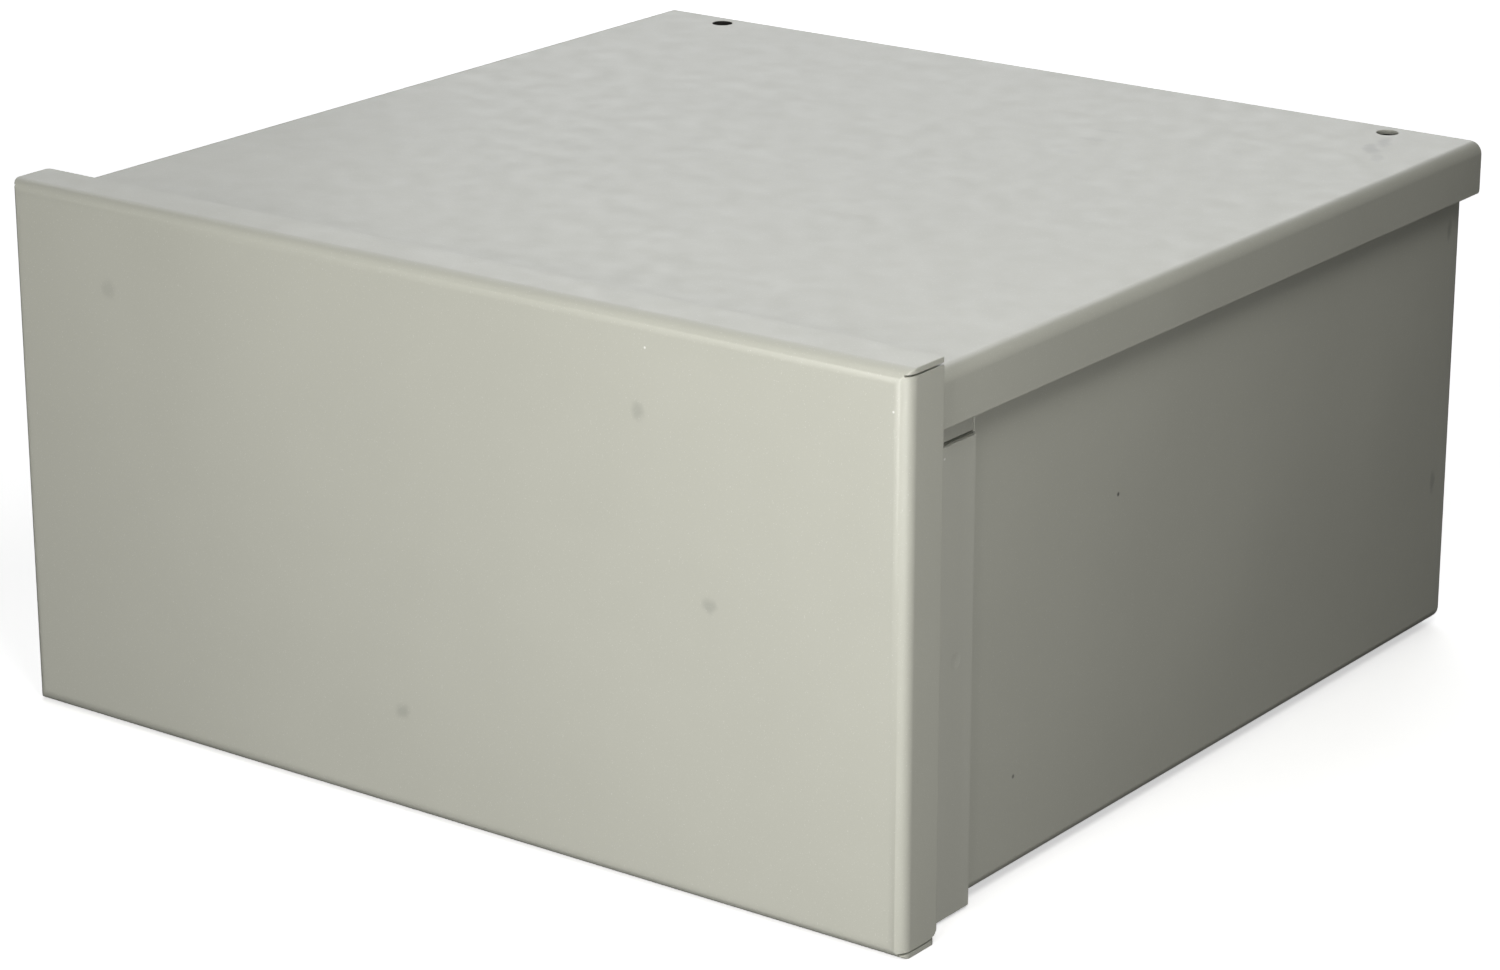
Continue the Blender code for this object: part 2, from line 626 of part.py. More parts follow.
def neutral_bar():
    """Neutral terminal bar with its lug, on an insulating support."""
    x, low = NEUTRAL_X, NEUTRAL_Z
    width, height = NEUTRAL_BAR
    start, end = NEUTRAL_RUN
    lug_start, lug_end = NEUTRAL_LUG_RUN
    lug_half = LUG_SIZE[0] / 2
    lug_y = (lug_start + lug_end) / 2
    support = bmesh.new()
    put_box(support, (x - lug_half, lug_start - 4 * MM, BACK_INNER + GAP),
            (x + lug_half, end + 4 * MM, low - GAP))
    add_object("neutral_support", support, WHITE)
    bm = bmesh.new()
    put_box(bm, (x - width / 2, start, low), (x + width / 2, end, low + height))
    item = add_object("neutral_bar", bm, ALUMINIUM)
    lug = bmesh.new()
    put_box(lug, (x - lug_half, lug_start, low), (x + lug_half, lug_end, low + NEUTRAL_LUG_HEIGHT))
    join(item, lug, "lug")
    bores, threads = bmesh.new(), bmesh.new()
    put_bar_holes(bores, threads, x, NEUTRAL_SCREWS, low, NEUTRAL_BORE_R)
    put_cylinder(bores, (x, lug_start - 4 * MM, low + LUG_WIRE_UP), FAR, LUG_SIZE[1] - 2 * MM,
                 NEUTRAL_LUG_BORE_R)
    put_cylinder(threads, (x, lug_y, low + 11 * MM), UP, 2 * BEYOND, LUG_THREAD_R)
    cut(item, bores, "wire_bores")
    cut(item, threads, "threads")
    for number, y in enumerate(NEUTRAL_SCREWS, start=1):
        slotted_screw("neutral_screw_%d" % number, (x, y, low + height - 3.5 * MM), BAR_SCREW_R, 5 * MM)
    slotted_screw("neutral_lug_screw", (x, lug_y, low + 16 * MM), LUG_SCREW_R, 10 * MM)


def put_bar_holes(bores, threads, x, places, low, bore_r):
    """Cutters for a cross bore and a screw hole at each place along a bar."""
    middle = low + 5 * MM
    for y in places:
        put_bore(bores, (x, y, middle), RIGHT, 2 * BEYOND, bore_r, segments=12)
        put_cylinder(threads, (x, y, middle), UP, BEYOND + 2 * MM, BAR_THREAD_R, segments=12)


def ground_bar():
    """Equipment grounding bar on the back, clear of the wall feet."""
    width, length, height = GROUND_BAR
    low = BACK_INNER + GAP
    bm = bmesh.new()
    put_box(bm, (GROUND_X - width / 2, -length / 2, low), (GROUND_X + width / 2, length / 2, low + height))
    item = add_object("ground_bar", bm, ALUMINIUM)
    bores, threads = bmesh.new(), bmesh.new()
    put_bar_holes(bores, threads, GROUND_X, GROUND_SCREWS, low, GROUND_BORE_R)
    cut(item, bores, "wire_bores")
    cut(item, threads, "threads")
    for number, y in enumerate(GROUND_SCREWS, start=1):
        place = (GROUND_X, y, low + height - 3.5 * MM)
        slotted_screw("ground_screw_%d" % number, place, BAR_SCREW_R, 5 * MM)


def front_screw_places():
    return [(x, y) for x in (-FRONT_SCREW_X, FRONT_SCREW_X) for y in FRONT_SCREW_Y]


def dead_front_rail(number, side):
    """Angle welded along a side wall, with a ledge for the dead front."""
    outer = side * (SIDE_INNER - GAP)
    inner = outer - side * RAIL_LEDGE
    top = DEAD_FRONT_Z - GAP
    start, end = RAIL_RUN
    points = [(outer, start, RAIL_LOW), (outer, start, top), (inner, start, top)]
    item = bent_sheet("dead_front_rail_%d" % number, points, (0, end - start, 0), SHEET, MM, PAINT,
                      offset=-side)
    holes = bmesh.new()
    for y in FRONT_SCREW_Y:
        put_bore(holes, (side * FRONT_SCREW_X, y, top), UP, BEYOND, 2.3 * MM, segments=16)
    cut(item, holes, "holes")


def dead_front():
    """Inner plate that leaves only the breaker noses in reach, and its screws."""
    first = row_y(0) - PITCH / 2 - GAP
    last = row_y(ROWS - 1) + PITCH / 2 + GAP
    top = DEAD_FRONT_Z + DEAD_FRONT_THICK
    start, end = DEAD_FRONT_RUN
    bm = bmesh.new()
    put_box(bm, (-DEAD_FRONT_X, start, DEAD_FRONT_Z), (DEAD_FRONT_X, end, top))
    item = add_object("dead_front", bm, PAINT)
    openings = bmesh.new()
    for side in (-1, 1):
        low_x, high_x = across(side, NOSE_X[0] - WINDOW_PLAY, NOSE_X[1] + WINDOW_PLAY)
        put_box(openings, (low_x, first, DEAD_FRONT_Z - BEYOND), (high_x, last, top + BEYOND))
    for number, (x, y) in enumerate(front_screw_places(), start=1):
        put_bore(openings, (x, y, top), UP, BEYOND, 2.5 * MM, segments=16)
        slotted_screw("dead_front_screw_%d" % number, (x, y, top + GAP), 4.5 * MM, 2.6 * MM,
                      shank=5 * MM)
    cut(item, openings, "openings")


def build():
    empty_scene()
    new_collection("load_center")
    new_collection("cutters")
    body_shell()
    top_end_wall()
    bottom_end_wall()
    drip_cap()
    front_cover()
    clip_nut(1, -COVER_HOLE_X)
    clip_nut(2, COVER_HOLE_X)
    interior_pan()
    base_insulator()
    bus_bar("a", -1, (0, 2))
    bus_bar("b", 1, (1, 3))
    line_lug(1, -1)
    line_lug(2, 1)
    breakers()
    neutral_bar()
    ground_bar()
    dead_front_rail(1, -1)
    dead_front_rail(2, 1)
    dead_front()


build()
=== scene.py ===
import json
import math

import bmesh
import bpy
from mathutils import Matrix, Vector


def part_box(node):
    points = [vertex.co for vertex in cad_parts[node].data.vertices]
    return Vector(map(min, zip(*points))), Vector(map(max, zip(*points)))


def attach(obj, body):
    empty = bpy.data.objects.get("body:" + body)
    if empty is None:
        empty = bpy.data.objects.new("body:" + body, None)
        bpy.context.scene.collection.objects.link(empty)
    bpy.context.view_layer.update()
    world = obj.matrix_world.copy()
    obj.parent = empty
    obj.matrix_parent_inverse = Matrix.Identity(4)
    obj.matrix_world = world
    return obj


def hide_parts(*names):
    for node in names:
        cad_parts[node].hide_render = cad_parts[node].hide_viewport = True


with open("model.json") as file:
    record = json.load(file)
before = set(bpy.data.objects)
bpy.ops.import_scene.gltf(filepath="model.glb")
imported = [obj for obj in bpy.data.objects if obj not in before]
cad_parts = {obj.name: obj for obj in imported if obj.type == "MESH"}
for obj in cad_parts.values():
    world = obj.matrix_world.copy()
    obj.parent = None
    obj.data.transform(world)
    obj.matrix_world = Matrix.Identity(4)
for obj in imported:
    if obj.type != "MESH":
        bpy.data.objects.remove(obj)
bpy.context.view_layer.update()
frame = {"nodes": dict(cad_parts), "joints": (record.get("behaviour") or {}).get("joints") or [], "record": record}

MM = 0.001
SHEET = 1.5 * MM
BEYOND = 10.0 * MM          # how far a cutter runs past the wall it cuts
RECORD = frame["record"]
BODY_OF = {node: body for body, nodes in RECORD["behaviour"]["bodies"].items() for node in nodes}
SLOT_OF = {part["node"]: part["material_slot"] for part in RECORD["subparts"]}
PIVOT_OF = {joint["child"]: Vector(joint["pos_m"]) for joint in frame["joints"] if "pos_m" in joint}

# Outward axes
LEFT, RIGHT = (-1, 0, 0), (1, 0, 0)
NEAR, FAR = (0, -1, 0), (0, 1, 0)
DOWN, UP = (0, 0, -1), (0, 0, 1)
SIDES = (-1, 1)

# Folded sheet
FOLD_STEPS, CORNER_STEPS = 10, 8
SHARP = math.radians(35.0)  # an edge that turns more than this is rounded
EDGE_ROUND = 0.28 * MM      # what powder coat leaves of a sheared edge
SMALL_ROUND = 0.12 * MM     # on the edges of screws and clips
CAP_BEND, BODY_BEND, COVER_BEND = 4.5 * MM, 3.5 * MM, 4.0 * MM
SLIT, SLIT_DEEPER = 0.6 * MM, 0.4 * MM      # width, and how far it runs past the sheet
CAP_CORNERS = {-1: 2.4 * MM, 1: 0.7 * MM}   # radii at the top flange's left and right ends
CAP_LOW_CORNER, CAP_END_CORNER = 2.8 * MM, 3.0 * MM
COVER_NEAR_CORNER, COVER_FAR_CORNER = 2.0 * MM, 1.2 * MM
COVER_HOLE_R, COVER_HOLE_INSET = 3.35 * MM, 6.9 * MM
FLANGE_HOLE_R = 3.2 * MM
BACK_Z = 2.5 * MM
LIP = 14.0 * MM
STRIP_TOP = 135.5 * MM
NOTCH_Y = -114.8 * MM
STRIP_END_Y = -116.5 * MM
STRIP_WELD_Y, STRIP_WELD_Z = -124.7 * MM, 74.3 * MM
WELD_R, WELD_DEPTH = 2.4 * MM, 0.16 * MM
TAB_BOTTOM, TAB_SUNK = 133.5 * MM, 0.3 * MM
FOOT_R, FOOT_FLARE, FOOT_HOLE_R = 12.0 * MM, 3.0 * MM, 4.0 * MM
FOOT_REACH = 114.3 * MM
FOOT_MIDDLE_Y = 4.8 * MM
PAN_HOLE_R = 2.2 * MM
DRAIN_R, DRAIN_X, DRAIN_RISE = 2.5 * MM, 80.0 * MM, 5.0 * MM
GAP = 0.3 * MM
CLIP_LEAF, CLIP_THREAD_R, CLIP_TIP_PLAY = 0.6 * MM, 2.1 * MM, 0.05 * MM
CLIP_THREAD_INSET = 4.8 * MM    # from the tip of the leaf to the middle of the thread
CLIP_BARREL_R, CLIP_BARREL_TOP_R, CLIP_BOW_R = 3.6 * MM, 3.3 * MM, 0.9 * MM

# Camera and light
CAMERA_PLACE = (0.7591, -1.0346, 0.4933)
CAMERA_AIM = (-0.563, 0.7616, -0.3209)
CAMERA_LENS, CAMERA_SENSOR = 105.8, 36.0
FLOOR_REACH = 12.0
FLOOR_LIGHT, FLOOR_DARK = (0.95, 0.95, 0.95, 1.0), (0.93, 0.93, 0.93, 1.0)
FLOOR_GLOW = 0.55
WORLD_COLOUR, WORLD_STRENGTH = (0.97, 0.985, 1.0, 1.0), 0.01
# Softboxes: place, width, power, colour
SOFTBOX_AIM = (0.0, 0.0, 0.08)
WARM, COOL = (1.0, 0.992, 0.97), (0.98, 0.99, 1.0)
SOFTBOXES = {"front_softbox": ((0.135, -0.693, 0.197), 0.40, 3.02, WARM),
             "side_softbox": ((0.60, -0.48, 0.10), 0.30, 1.66, WARM),
             "high_softbox": ((0.50, -0.38, 0.80), 0.40, 3.10, WARM),
             "back_softbox": ((-0.752, 0.903, 1.013), 1.60, 11.2, COOL),
             "far_softbox": ((-0.606, 1.616, 1.090), 1.80, 6.2, COOL)}

# Breakers and their handles
PITCH = 25.4 * MM
ROWS_Y = [(-20.0 + 25.4 * row) * MM for row in range(4)]
NOSE_X = (24.0 * MM, 60.0 * MM)
LEDGE_X, LEDGE_Z, SHOULDER_Z = 64.0 * MM, 70.0 * MM, 88.5 * MM
BARREL_R, PLAY, SLOT_HALF = 6.5 * MM, 0.4 * MM, 9.5 * MM
HANDLE_WIDTH, LEVER_REACH, LEVER_HALF = 11.0 * MM, 19.0 * MM, 2.6 * MM
TILT = 22.0                 # degrees from upright, towards the middle
# Recess over a stab: its reach from the middle, half width, top, and start below the case
STAB_X, STAB_HALF, STAB_TOP, STAB_BELOW = 28.0 * MM, 1.6 * MM, 57.0 * MM, 3.0 * MM
# Wire opening: its depth, half width, and its bottom and top below the ledge
WIRE_DEPTH, WIRE_HALF, WIRE_BELOW = 12.0 * MM, 4.0 * MM, (11.0 * MM, 4.0 * MM)
# On the nose: parting line, sunk panel, and a bar and a ring as marks for on and off
SEAM_HALF, SEAM_BELOW = 0.25 * MM, 12.0 * MM
PANEL_INSET, PANEL_HALF, PANEL_SUNK = (6.6 * MM, 1.6 * MM), 8.5 * MM, 0.35 * MM
BAR_INSET, BAR_HALF, BAR_RISE = 4.2 * MM, (0.45 * MM, 2.0 * MM), 0.3 * MM
RING_INSET, RING_R, RING_HOLE_R, RING_HEIGHT = 4.1 * MM, 1.9 * MM, 1.1 * MM, 0.6 * MM
MARK_ROOT = 0.5 * MM        # how far a mark starts below the nose
# Lever and its grip ribs
LEVER_CHAMFER, LEVER_TAPER = 1.2 * MM, 0.1
RIBS, RIB_R, RIB_PROUD, RIB_SHARE = 4, 0.45 * MM, 0.1 * MM, 0.72
RIB_START, RIB_PITCH = 2.6, 1.7     # in millimetres below the lever's tip

# Dead front
WINDOW_PLAY = 0.6 * MM
PLATE_CORNER, PLATE_HOLE_R = 5.0 * MM, 2.5 * MM
SCORE_REACH, SCORE_HALF, SCORE_DEPTH = 7.0 * MM, 0.3 * MM, 0.35 * MM
BEAD_INSET, BEAD_WIDTH, BEAD_ROOT, BEAD_RISE = 9.0 * MM, 3.0 * MM, 0.4 * MM, 0.8 * MM
BEAD_Y, BEAD_END_INSET = (-74.0 * MM, 100.0 * MM), 26.0 * MM

# Screws: the height of each kind's head
HEAD_HEIGHT = {"pan_screw": 2.6 * MM, "line_lug_screw": 3.0 * MM, "terminal_screw_left": 3.0 * MM,
               "terminal_screw_right": 3.0 * MM, "neutral_screw": 2.0 * MM,
               "neutral_lug_screw": 3.0 * MM, "ground_screw": 2.0 * MM, "dead_front_screw": 2.6 * MM}


# ------------------------------------------------------------------- shaders

class Look:
    """A Principled material that is put together from nodes."""

    def __init__(self, name, rough, metal=0.0):
        self.material = bpy.data.materials.new(name)
        self.material.use_nodes = True
        self.tree = self.material.node_tree
        self.shader = self.tree.nodes["Principled BSDF"]
        self.shader.inputs["Roughness"].default_value = rough
        self.shader.inputs["Metallic"].default_value = metal
        self.place = self.add("ShaderNodeTexCoord").outputs["Object"]

    def add(self, kind, inputs=None, **settings):
        """Add a node. Its inputs are plain values or the sockets that feed them."""
        node = self.tree.nodes.new(kind)
        for key, value in settings.items():
            setattr(node, key, value)
        for key, value in (inputs or {}).items():
            if isinstance(value, bpy.types.NodeSocket):
                self.tree.links.new(value, node.inputs[key])
            else:
                node.inputs[key].default_value = value
        return node

    def feed(self, name, socket):
        self.tree.links.new(socket, self.shader.inputs[name])

    def math(self, operation, one, two=0.0, clamp=False):
        node = self.add("ShaderNodeMath", {0: one, 1: two}, operation=operation, use_clamp=clamp)
        return node.outputs[0]

    def stretched(self, scale):
        """Object coordinates stretched by a factor along each axis."""
        return self.add("ShaderNodeVectorMath", {0: self.place, 1: scale},
                        operation="MULTIPLY").outputs[0]

    def noise(self, scale, detail=2.0, vector=None, rough=0.5):
        inputs = {"Vector": vector or self.place, "Scale": scale, "Detail": detail, "Roughness": rough}
        return self.add("ShaderNodeTexNoise", inputs).outputs["Fac"]

    def remap(self, value, low, high, to_low=0.0, to_high=1.0, smooth=False):
        kind = "SMOOTHSTEP" if smooth else "LINEAR"
        node = self.add("ShaderNodeMapRange", {0: value, 1: low, 2: high, 3: to_low, 4: to_high},
                        interpolation_type=kind)
        return node.outputs[0]

    def mix(self, share, one, two):
        """Colour one where share is 0 and colour two where it is 1."""
        node = self.add("ShaderNodeMix", {0: share, 6: one, 7: two}, data_type="RGBA")
        return node.outputs[2]

    def spot(self, middle, radii, turn=0.0, place=None):
        """1 in the middle of an ellipsoid turned about Z, falling to 0 at its rim."""
        offset = self.add("ShaderNodeVectorMath", {0: place or self.place, 1: middle},
                          operation="SUBTRACT").outputs[0]
        if turn:
            offset = self.add("ShaderNodeVectorRotate", {"Vector": offset, "Angle": math.radians(turn)},
                              rotation_type="Z_AXIS").outputs[0]
        scaled = self.add("ShaderNodeVectorMath", {0: offset, 1: [1 / r for r in radii]},
                          operation="MULTIPLY").outputs[0]
        reach = self.add("ShaderNodeVectorMath", {0: scaled}, operation="LENGTH").outputs["Value"]
        return self.remap(reach, 0.25, 1.0, 1.0, 0.0, smooth=True)

    def bump(self, height, distance, under=None):
        inputs = {"Strength": 1.0, "Distance": distance, "Height": height}
        if under is not None:
            inputs["Normal"] = under
        return self.add("ShaderNodeBump", inputs).outputs[0]


def rgba(red, green, blue):
    """Opaque colour."""
    return (red, green, blue, 1.0)


PAINT_LIGHT = rgba(0.492, 0.495, 0.438)
PAINT_SHADE = rgba(0.478, 0.481, 0.425)
# Dark grey of dirt smudges, also used as painted shade for two weld dents on the body
SMUDGE_AND_DENT_SHADE = rgba(0.25, 0.252, 0.228)
SPECK_DARK = rgba(0.035, 0.035, 0.03)
SPECK_LIGHT = rgba(0.80, 0.80, 0.77)

# Handling marks on the coat, and painted shade of weld dents on the body, in millimetres: middle, radii, colour,
# strength
CAP_MARKS = [
    ((73.2, -157.2, 136.7), (3.4, 3, 3.4), SMUDGE_AND_DENT_SHADE, 0.34),
    ((97.0, -157.2, 86.9), (3.4, 3, 3.4), SMUDGE_AND_DENT_SHADE, 0.36),
    ((-12.2, -157.2, 31.3), (3.6, 3, 3.6), SMUDGE_AND_DENT_SHADE, 0.34),
    ((-120.9, -157.2, 137.0), (4.0, 3, 4.0), SMUDGE_AND_DENT_SHADE, 0.22),
    ((76.0, -157.2, 154.9), (0.5, 1, 0.5), SPECK_LIGHT, 1.0),
    ((155.7, -157.0, 152.2), (0.5, 1, 0.5), SPECK_LIGHT, 1.0),
]
COVER_MARKS = [
    ((133.9, 138.8, 158.7), (3.0, 8.0, 3), SMUDGE_AND_DENT_SHADE, 0.50, -29),
    ((134.3, 129.9, 158.7), (3.2, 9.0, 3), SMUDGE_AND_DENT_SHADE, 0.55, -29),
    ((141.1, 121.3, 158.7), (2.6, 8.0, 3), SMUDGE_AND_DENT_SHADE, 0.34, -29),
    ((136.0, 130.0, 158.7), (6.0, 15.0, 3), SMUDGE_AND_DENT_SHADE, 0.10, -10),
    ((61.6, 71.6, 158.7), (5.0, 4.0, 3), SMUDGE_AND_DENT_SHADE, 0.16),
    ((60.2, 89.2, 158.7), (7.0, 3.0, 3), SMUDGE_AND_DENT_SHADE, 0.16),
    ((58.5, 100.5, 158.7), (8.0, 3.0, 3), SMUDGE_AND_DENT_SHADE, 0.14),
]
BODY_MARKS_AND_DENT_SHADE = [
    # The first two are painted shade, not dirt: dark spots for the shadows in two spot-weld dents near the far end
    # of the right side
    ((152.4, 149.0, 131.5), (2, 1.8, 4.5), SMUDGE_AND_DENT_SHADE, 0.5),
    ((152.4, 146.0, 50.5), (2, 2.0, 4.5), SMUDGE_AND_DENT_SHADE, 0.5),
    ((152.4, -41.8, 97.9), (1, 0.9, 0.9), SPECK_DARK, 0.9),
    ((152.4, -92.7, 30.2), (1, 0.9, 0.9), SPECK_DARK, 0.7),
]
STRIP_MARKS = [((154.2, -131.3, 132.4), (1, 0.6, 0.5), SPECK_LIGHT, 1.0)]


def powder_coat(name, marks=(), painted_light_lift=0.0):
    """Light grey polyester powder coat over sheet steel; a lift above 0 is painted light that raises the colour
    towards white.

    Each mark is a middle, three radii, a colour, a strength and, if need be, a turn about Z.
    """
    look = Look(name, rough=0.35)
    broad = look.noise(7.0, detail=3.0)
    cloudy = look.noise(45.0, detail=4.0)
    share = look.remap(look.math("ADD", look.math("MULTIPLY", broad, 0.6),
                                 look.math("MULTIPLY", cloudy, 0.4)), 0.35, 0.65)
    # Painted light: the lift raises both tones towards white
    light, shade = ([part + painted_light_lift for part in tone[:3]] + [1.0] for tone in (PAINT_LIGHT, PAINT_SHADE))
    colour = look.mix(share, light, shade)
    grit = look.remap(look.noise(2600.0, detail=1.0), 0.66, 0.78, 0.0, 0.35)
    colour = look.mix(grit, colour, SPECK_LIGHT)
    wander = look.add("ShaderNodeTexNoise", {"Vector": look.place, "Scale": 160.0, "Detail": 3.0})
    shift = look.add("ShaderNodeVectorMath", {0: wander.outputs["Color"], 1: (0.5, 0.5, 0.5)},
                     operation="SUBTRACT").outputs[0]
    ragged = look.add("ShaderNodeVectorMath", {0: shift, 1: (0.004,) * 3, 2: look.place},
                      operation="MULTIPLY_ADD").outputs[0]
    for middle, radii, tone, strength, *turn in marks:
        middle, radii = Vector(middle) * MM, Vector(radii) * MM
        place = ragged if max(radii) > 2 * MM else look.place
        share = look.math("MULTIPLY", look.spot(middle, radii, sum(turn), place), strength)
        colour = look.mix(share, colour, tone)
    look.feed("Base Color", colour)
    look.feed("Roughness", look.remap(look.noise(120.0, detail=5.0), 0.3, 0.7, 0.32, 0.40))
    waves = look.bump(look.noise(16.0, detail=0.0), 0.0011)
    peel = look.bump(look.noise(620.0, detail=2.0, rough=0.6), 0.000035, waves)
    look.feed("Normal", peel)
    return look.material


def zinc_plate(name):
    """Dull zinc plating, with a faint yellow and blue cast."""
    look = Look(name, rough=0.38, metal=1.0)
    cast = look.remap(look.noise(90.0, detail=4.0), 0.35, 0.65)
    colour = look.mix(cast, rgba(0.60, 0.61, 0.62), rgba(0.66, 0.63, 0.54))
    crystals = look.add("ShaderNodeTexVoronoi", {"Vector": look.place, "Scale": 420.0})
    tint = look.remap(crystals.outputs["Distance"], 0.0, 0.9, 0.86, 1.06)
    colour = look.add("ShaderNodeVectorMath", {0: colour, 1: tint}, operation="MULTIPLY").outputs[0]
    look.feed("Base Color", colour)
    look.feed("Roughness", look.remap(look.noise(300.0, detail=4.0), 0.3, 0.7, 0.34, 0.5))
    look.feed("Normal", look.bump(look.noise(1500.0, detail=3.0), 0.00003))
    return look.material


def phosphated_steel(name):
    """Steel under a dull black coat of phosphate crystals."""
    look = Look(name, rough=0.8)
    stain = look.remap(look.noise(220.0, detail=4.0), 0.35, 0.65)
    look.feed("Base Color", look.mix(stain, rgba(0.030, 0.030, 0.028), rgba(0.048, 0.046, 0.042)))
    look.feed("Roughness", look.remap(look.noise(900.0, detail=3.0), 0.3, 0.7, 0.74, 0.88))
    look.shader.inputs["Specular IOR Level"].default_value = 0.15
    look.feed("Normal", look.bump(look.noise(2400.0, detail=3.0), 0.00002))
    return look.material


def drawn_metal(name, light, dark, grain, rough=(0.32, 0.46)):
    """Bare metal with drawing lines: grain stretches the pattern on each axis."""
    look = Look(name, rough=sum(rough) / 2, metal=1.0)
    lines = look.noise(300.0, detail=3.0, vector=look.stretched(grain))
    stain = look.remap(look.noise(60.0, detail=4.0), 0.35, 0.7)
    colour = look.mix(look.math("MULTIPLY", stain, 0.6), light, dark)
    colour = look.mix(look.remap(lines, 0.45, 0.75, 0.0, 0.4), colour, dark)
    look.feed("Base Color", colour)
    look.feed("Roughness", look.remap(lines, 0.3, 0.7, *rough))
    look.feed("Normal", look.bump(lines, 0.00004))
    return look.material


def moulded_plastic(name, light, dark, rough, texture=1400.0, relief=0.00003):
    """Moulded plastic: an eroded-die texture, flow marks and a little dust."""
    look = Look(name, rough=rough)
    flow = look.remap(look.noise(70.0, detail=3.0, vector=look.stretched((1.0, 2.5, 1.0))), 0.3, 0.7)
    colour = look.mix(flow, light, dark)
    dust = look.remap(look.noise(900.0, detail=2.0), 0.62, 0.85, 0.0, 0.12)
    colour = look.mix(dust, colour, rgba(0.45, 0.43, 0.40))
    look.feed("Base Color", colour)
    look.feed("Roughness", look.remap(look.noise(200.0, detail=3.0), 0.3, 0.7, rough - 0.06, rough + 0.08))
    look.feed("Normal", look.bump(look.noise(texture, detail=2.0), relief))
    return look.material


# -------------------------------------------------------------------- meshes

def link(name, bm):
    """Make an object from a bmesh and put it in the scene."""
    mesh = bpy.data.meshes.new(name)
    bm.to_mesh(mesh)
    bm.free()
    item = bpy.data.objects.new(name, mesh)
    bpy.context.scene.collection.objects.link(item)
    return item


def put_box(bm, low, high):
    """Add a closed box between two corners."""
    low, high = Vector(low), Vector(high)
    place = Matrix.Translation((low + high) / 2) @ Matrix.Diagonal((*(high - low), 1.0))
    return bmesh.ops.create_cube(bm, size=1.0, matrix=place)["verts"]


def put_cylinder(bm, base, axis, length, radius, end_radius=None, segments=48):
    """Add a closed cylinder or cone that starts at base and runs along axis."""
    axis = Vector(axis)
    turn = axis.to_track_quat("Z", "Y").to_matrix().to_4x4()
    place = Matrix.Translation(Vector(base) + axis * length / 2) @ turn
    bmesh.ops.create_cone(bm, cap_ends=True, segments=segments, radius1=radius,
                          radius2=end_radius or radius, depth=length, matrix=place)


def put_bore(bm, middle, axis, length, radius, segments=48):
    """Add a cylinder centred on a point, as a cutter for a through hole."""
    put_cylinder(bm, Vector(middle) - Vector(axis) * length / 2, axis, length, radius,
                 segments=segments)


def put_prism(bm, outline, axis, low, high):
    """Add a prism: an outline of points drawn from low to high along axis."""
    axis = Vector(axis)
    face = bm.faces.new([bm.verts.new(Vector(point) + axis * low) for point in outline])
    drawn = bmesh.ops.extrude_face_region(bm, geom=[face])["geom"]
    moved = [g for g in drawn if isinstance(g, bmesh.types.BMVert)]
    bmesh.ops.translate(bm, verts=moved, vec=axis * (high - low))
    bmesh.ops.recalc_face_normals(bm, faces=bm.faces)


def put_turned(bm, x, y, profile, steps, closed=False):
    """Add the solid that a profile of radii and heights sweeps about the upright axis at x, y."""
    ring = [bm.verts.new((x + r, y, z)) for r, z in profile]
    ends = ring[1:] + ring[:1] if closed else ring[1:]
    edges = [bm.edges.new(pair) for pair in zip(ring, ends)]
    bmesh.ops.spin(bm, geom=ring + edges, cent=(x, y, 0), axis=UP, angle=math.radians(360),
                   steps=steps, use_duplicate=False)
    bmesh.ops.remove_doubles(bm, verts=bm.verts, dist=0.000001)
    bmesh.ops.recalc_face_normals(bm, faces=bm.faces)


def put_corner(bm, corner, one, two, radius, through, outside=MM):
    """Add a cutter that rounds off a sheet's corner; one and two point inward."""
    corner, one, two = Vector(corner), Vector(one), Vector(two)
    middle = corner + (one + two) * radius
    arc = [middle - (one * math.sin(a) + two * math.cos(a)) * radius
           for a in (math.radians(90 * step / CORNER_STEPS) for step in range(CORNER_STEPS + 1))]
    outline = [corner - (one + two) * outside, corner + one * radius - two * outside, *arc,
               corner + two * radius - one * outside]
    put_prism(bm, outline, through, -SHEET - MM, SHEET + MM)


def put_dimple(bm, middle, axis, radius, depth):
    """Add a flattened ball that presses a shallow dish into a face.

    A unit ball whose middle is 0.8 above a face reaches 0.2 below it, and cuts it in a circle of 0.6.
    """
    turn = Vector(axis).to_track_quat("Z", "Y").to_matrix().to_4x4()
    spread, squat = radius / 0.6, depth / 0.2
    place = Matrix.Translation(Vector(middle) + Vector(axis) * 0.8 * squat) @ turn
    place = place @ Matrix.Diagonal((spread, spread, squat, 1.0))
    bmesh.ops.create_uvsphere(bm, u_segments=32, v_segments=32, radius=1.0, matrix=place)


def combine(item, bm, kind):
    """Cut a bmesh out of an object, or join it on, at once."""
    other = link(item.name + "_tool", bm)
    step = item.modifiers.new(kind, "BOOLEAN")
    step.operation = kind
    step.object = other
    step.solver = "EXACT"
    settle(item)
    bpy.data.objects.remove(other, do_unlink=True)


def cut(item, bm):
    combine(item, bm, "DIFFERENCE")


def join(item, bm):
    combine(item, bm, "UNION")


def settle(item):
    """Apply an object's modifiers."""
    bpy.context.view_layer.update()
    depsgraph = bpy.context.evaluated_depsgraph_get()
    mesh = bpy.data.meshes.new_from_object(item.evaluated_get(depsgraph))
    item.modifiers.clear()
    item.data = mesh
    if not mesh.polygons:
        raise RuntimeError(item.name + " came out empty")


def thicken(item, thickness=SHEET, offset=-1.0):
    """Give a surface the thickness of sheet: inward at -1, outward at 1."""
    sheet = item.modifiers.new("sheet", "SOLIDIFY")
    sheet.thickness = thickness
    sheet.offset = offset
    sheet.use_even_offset = True
    settle(item)


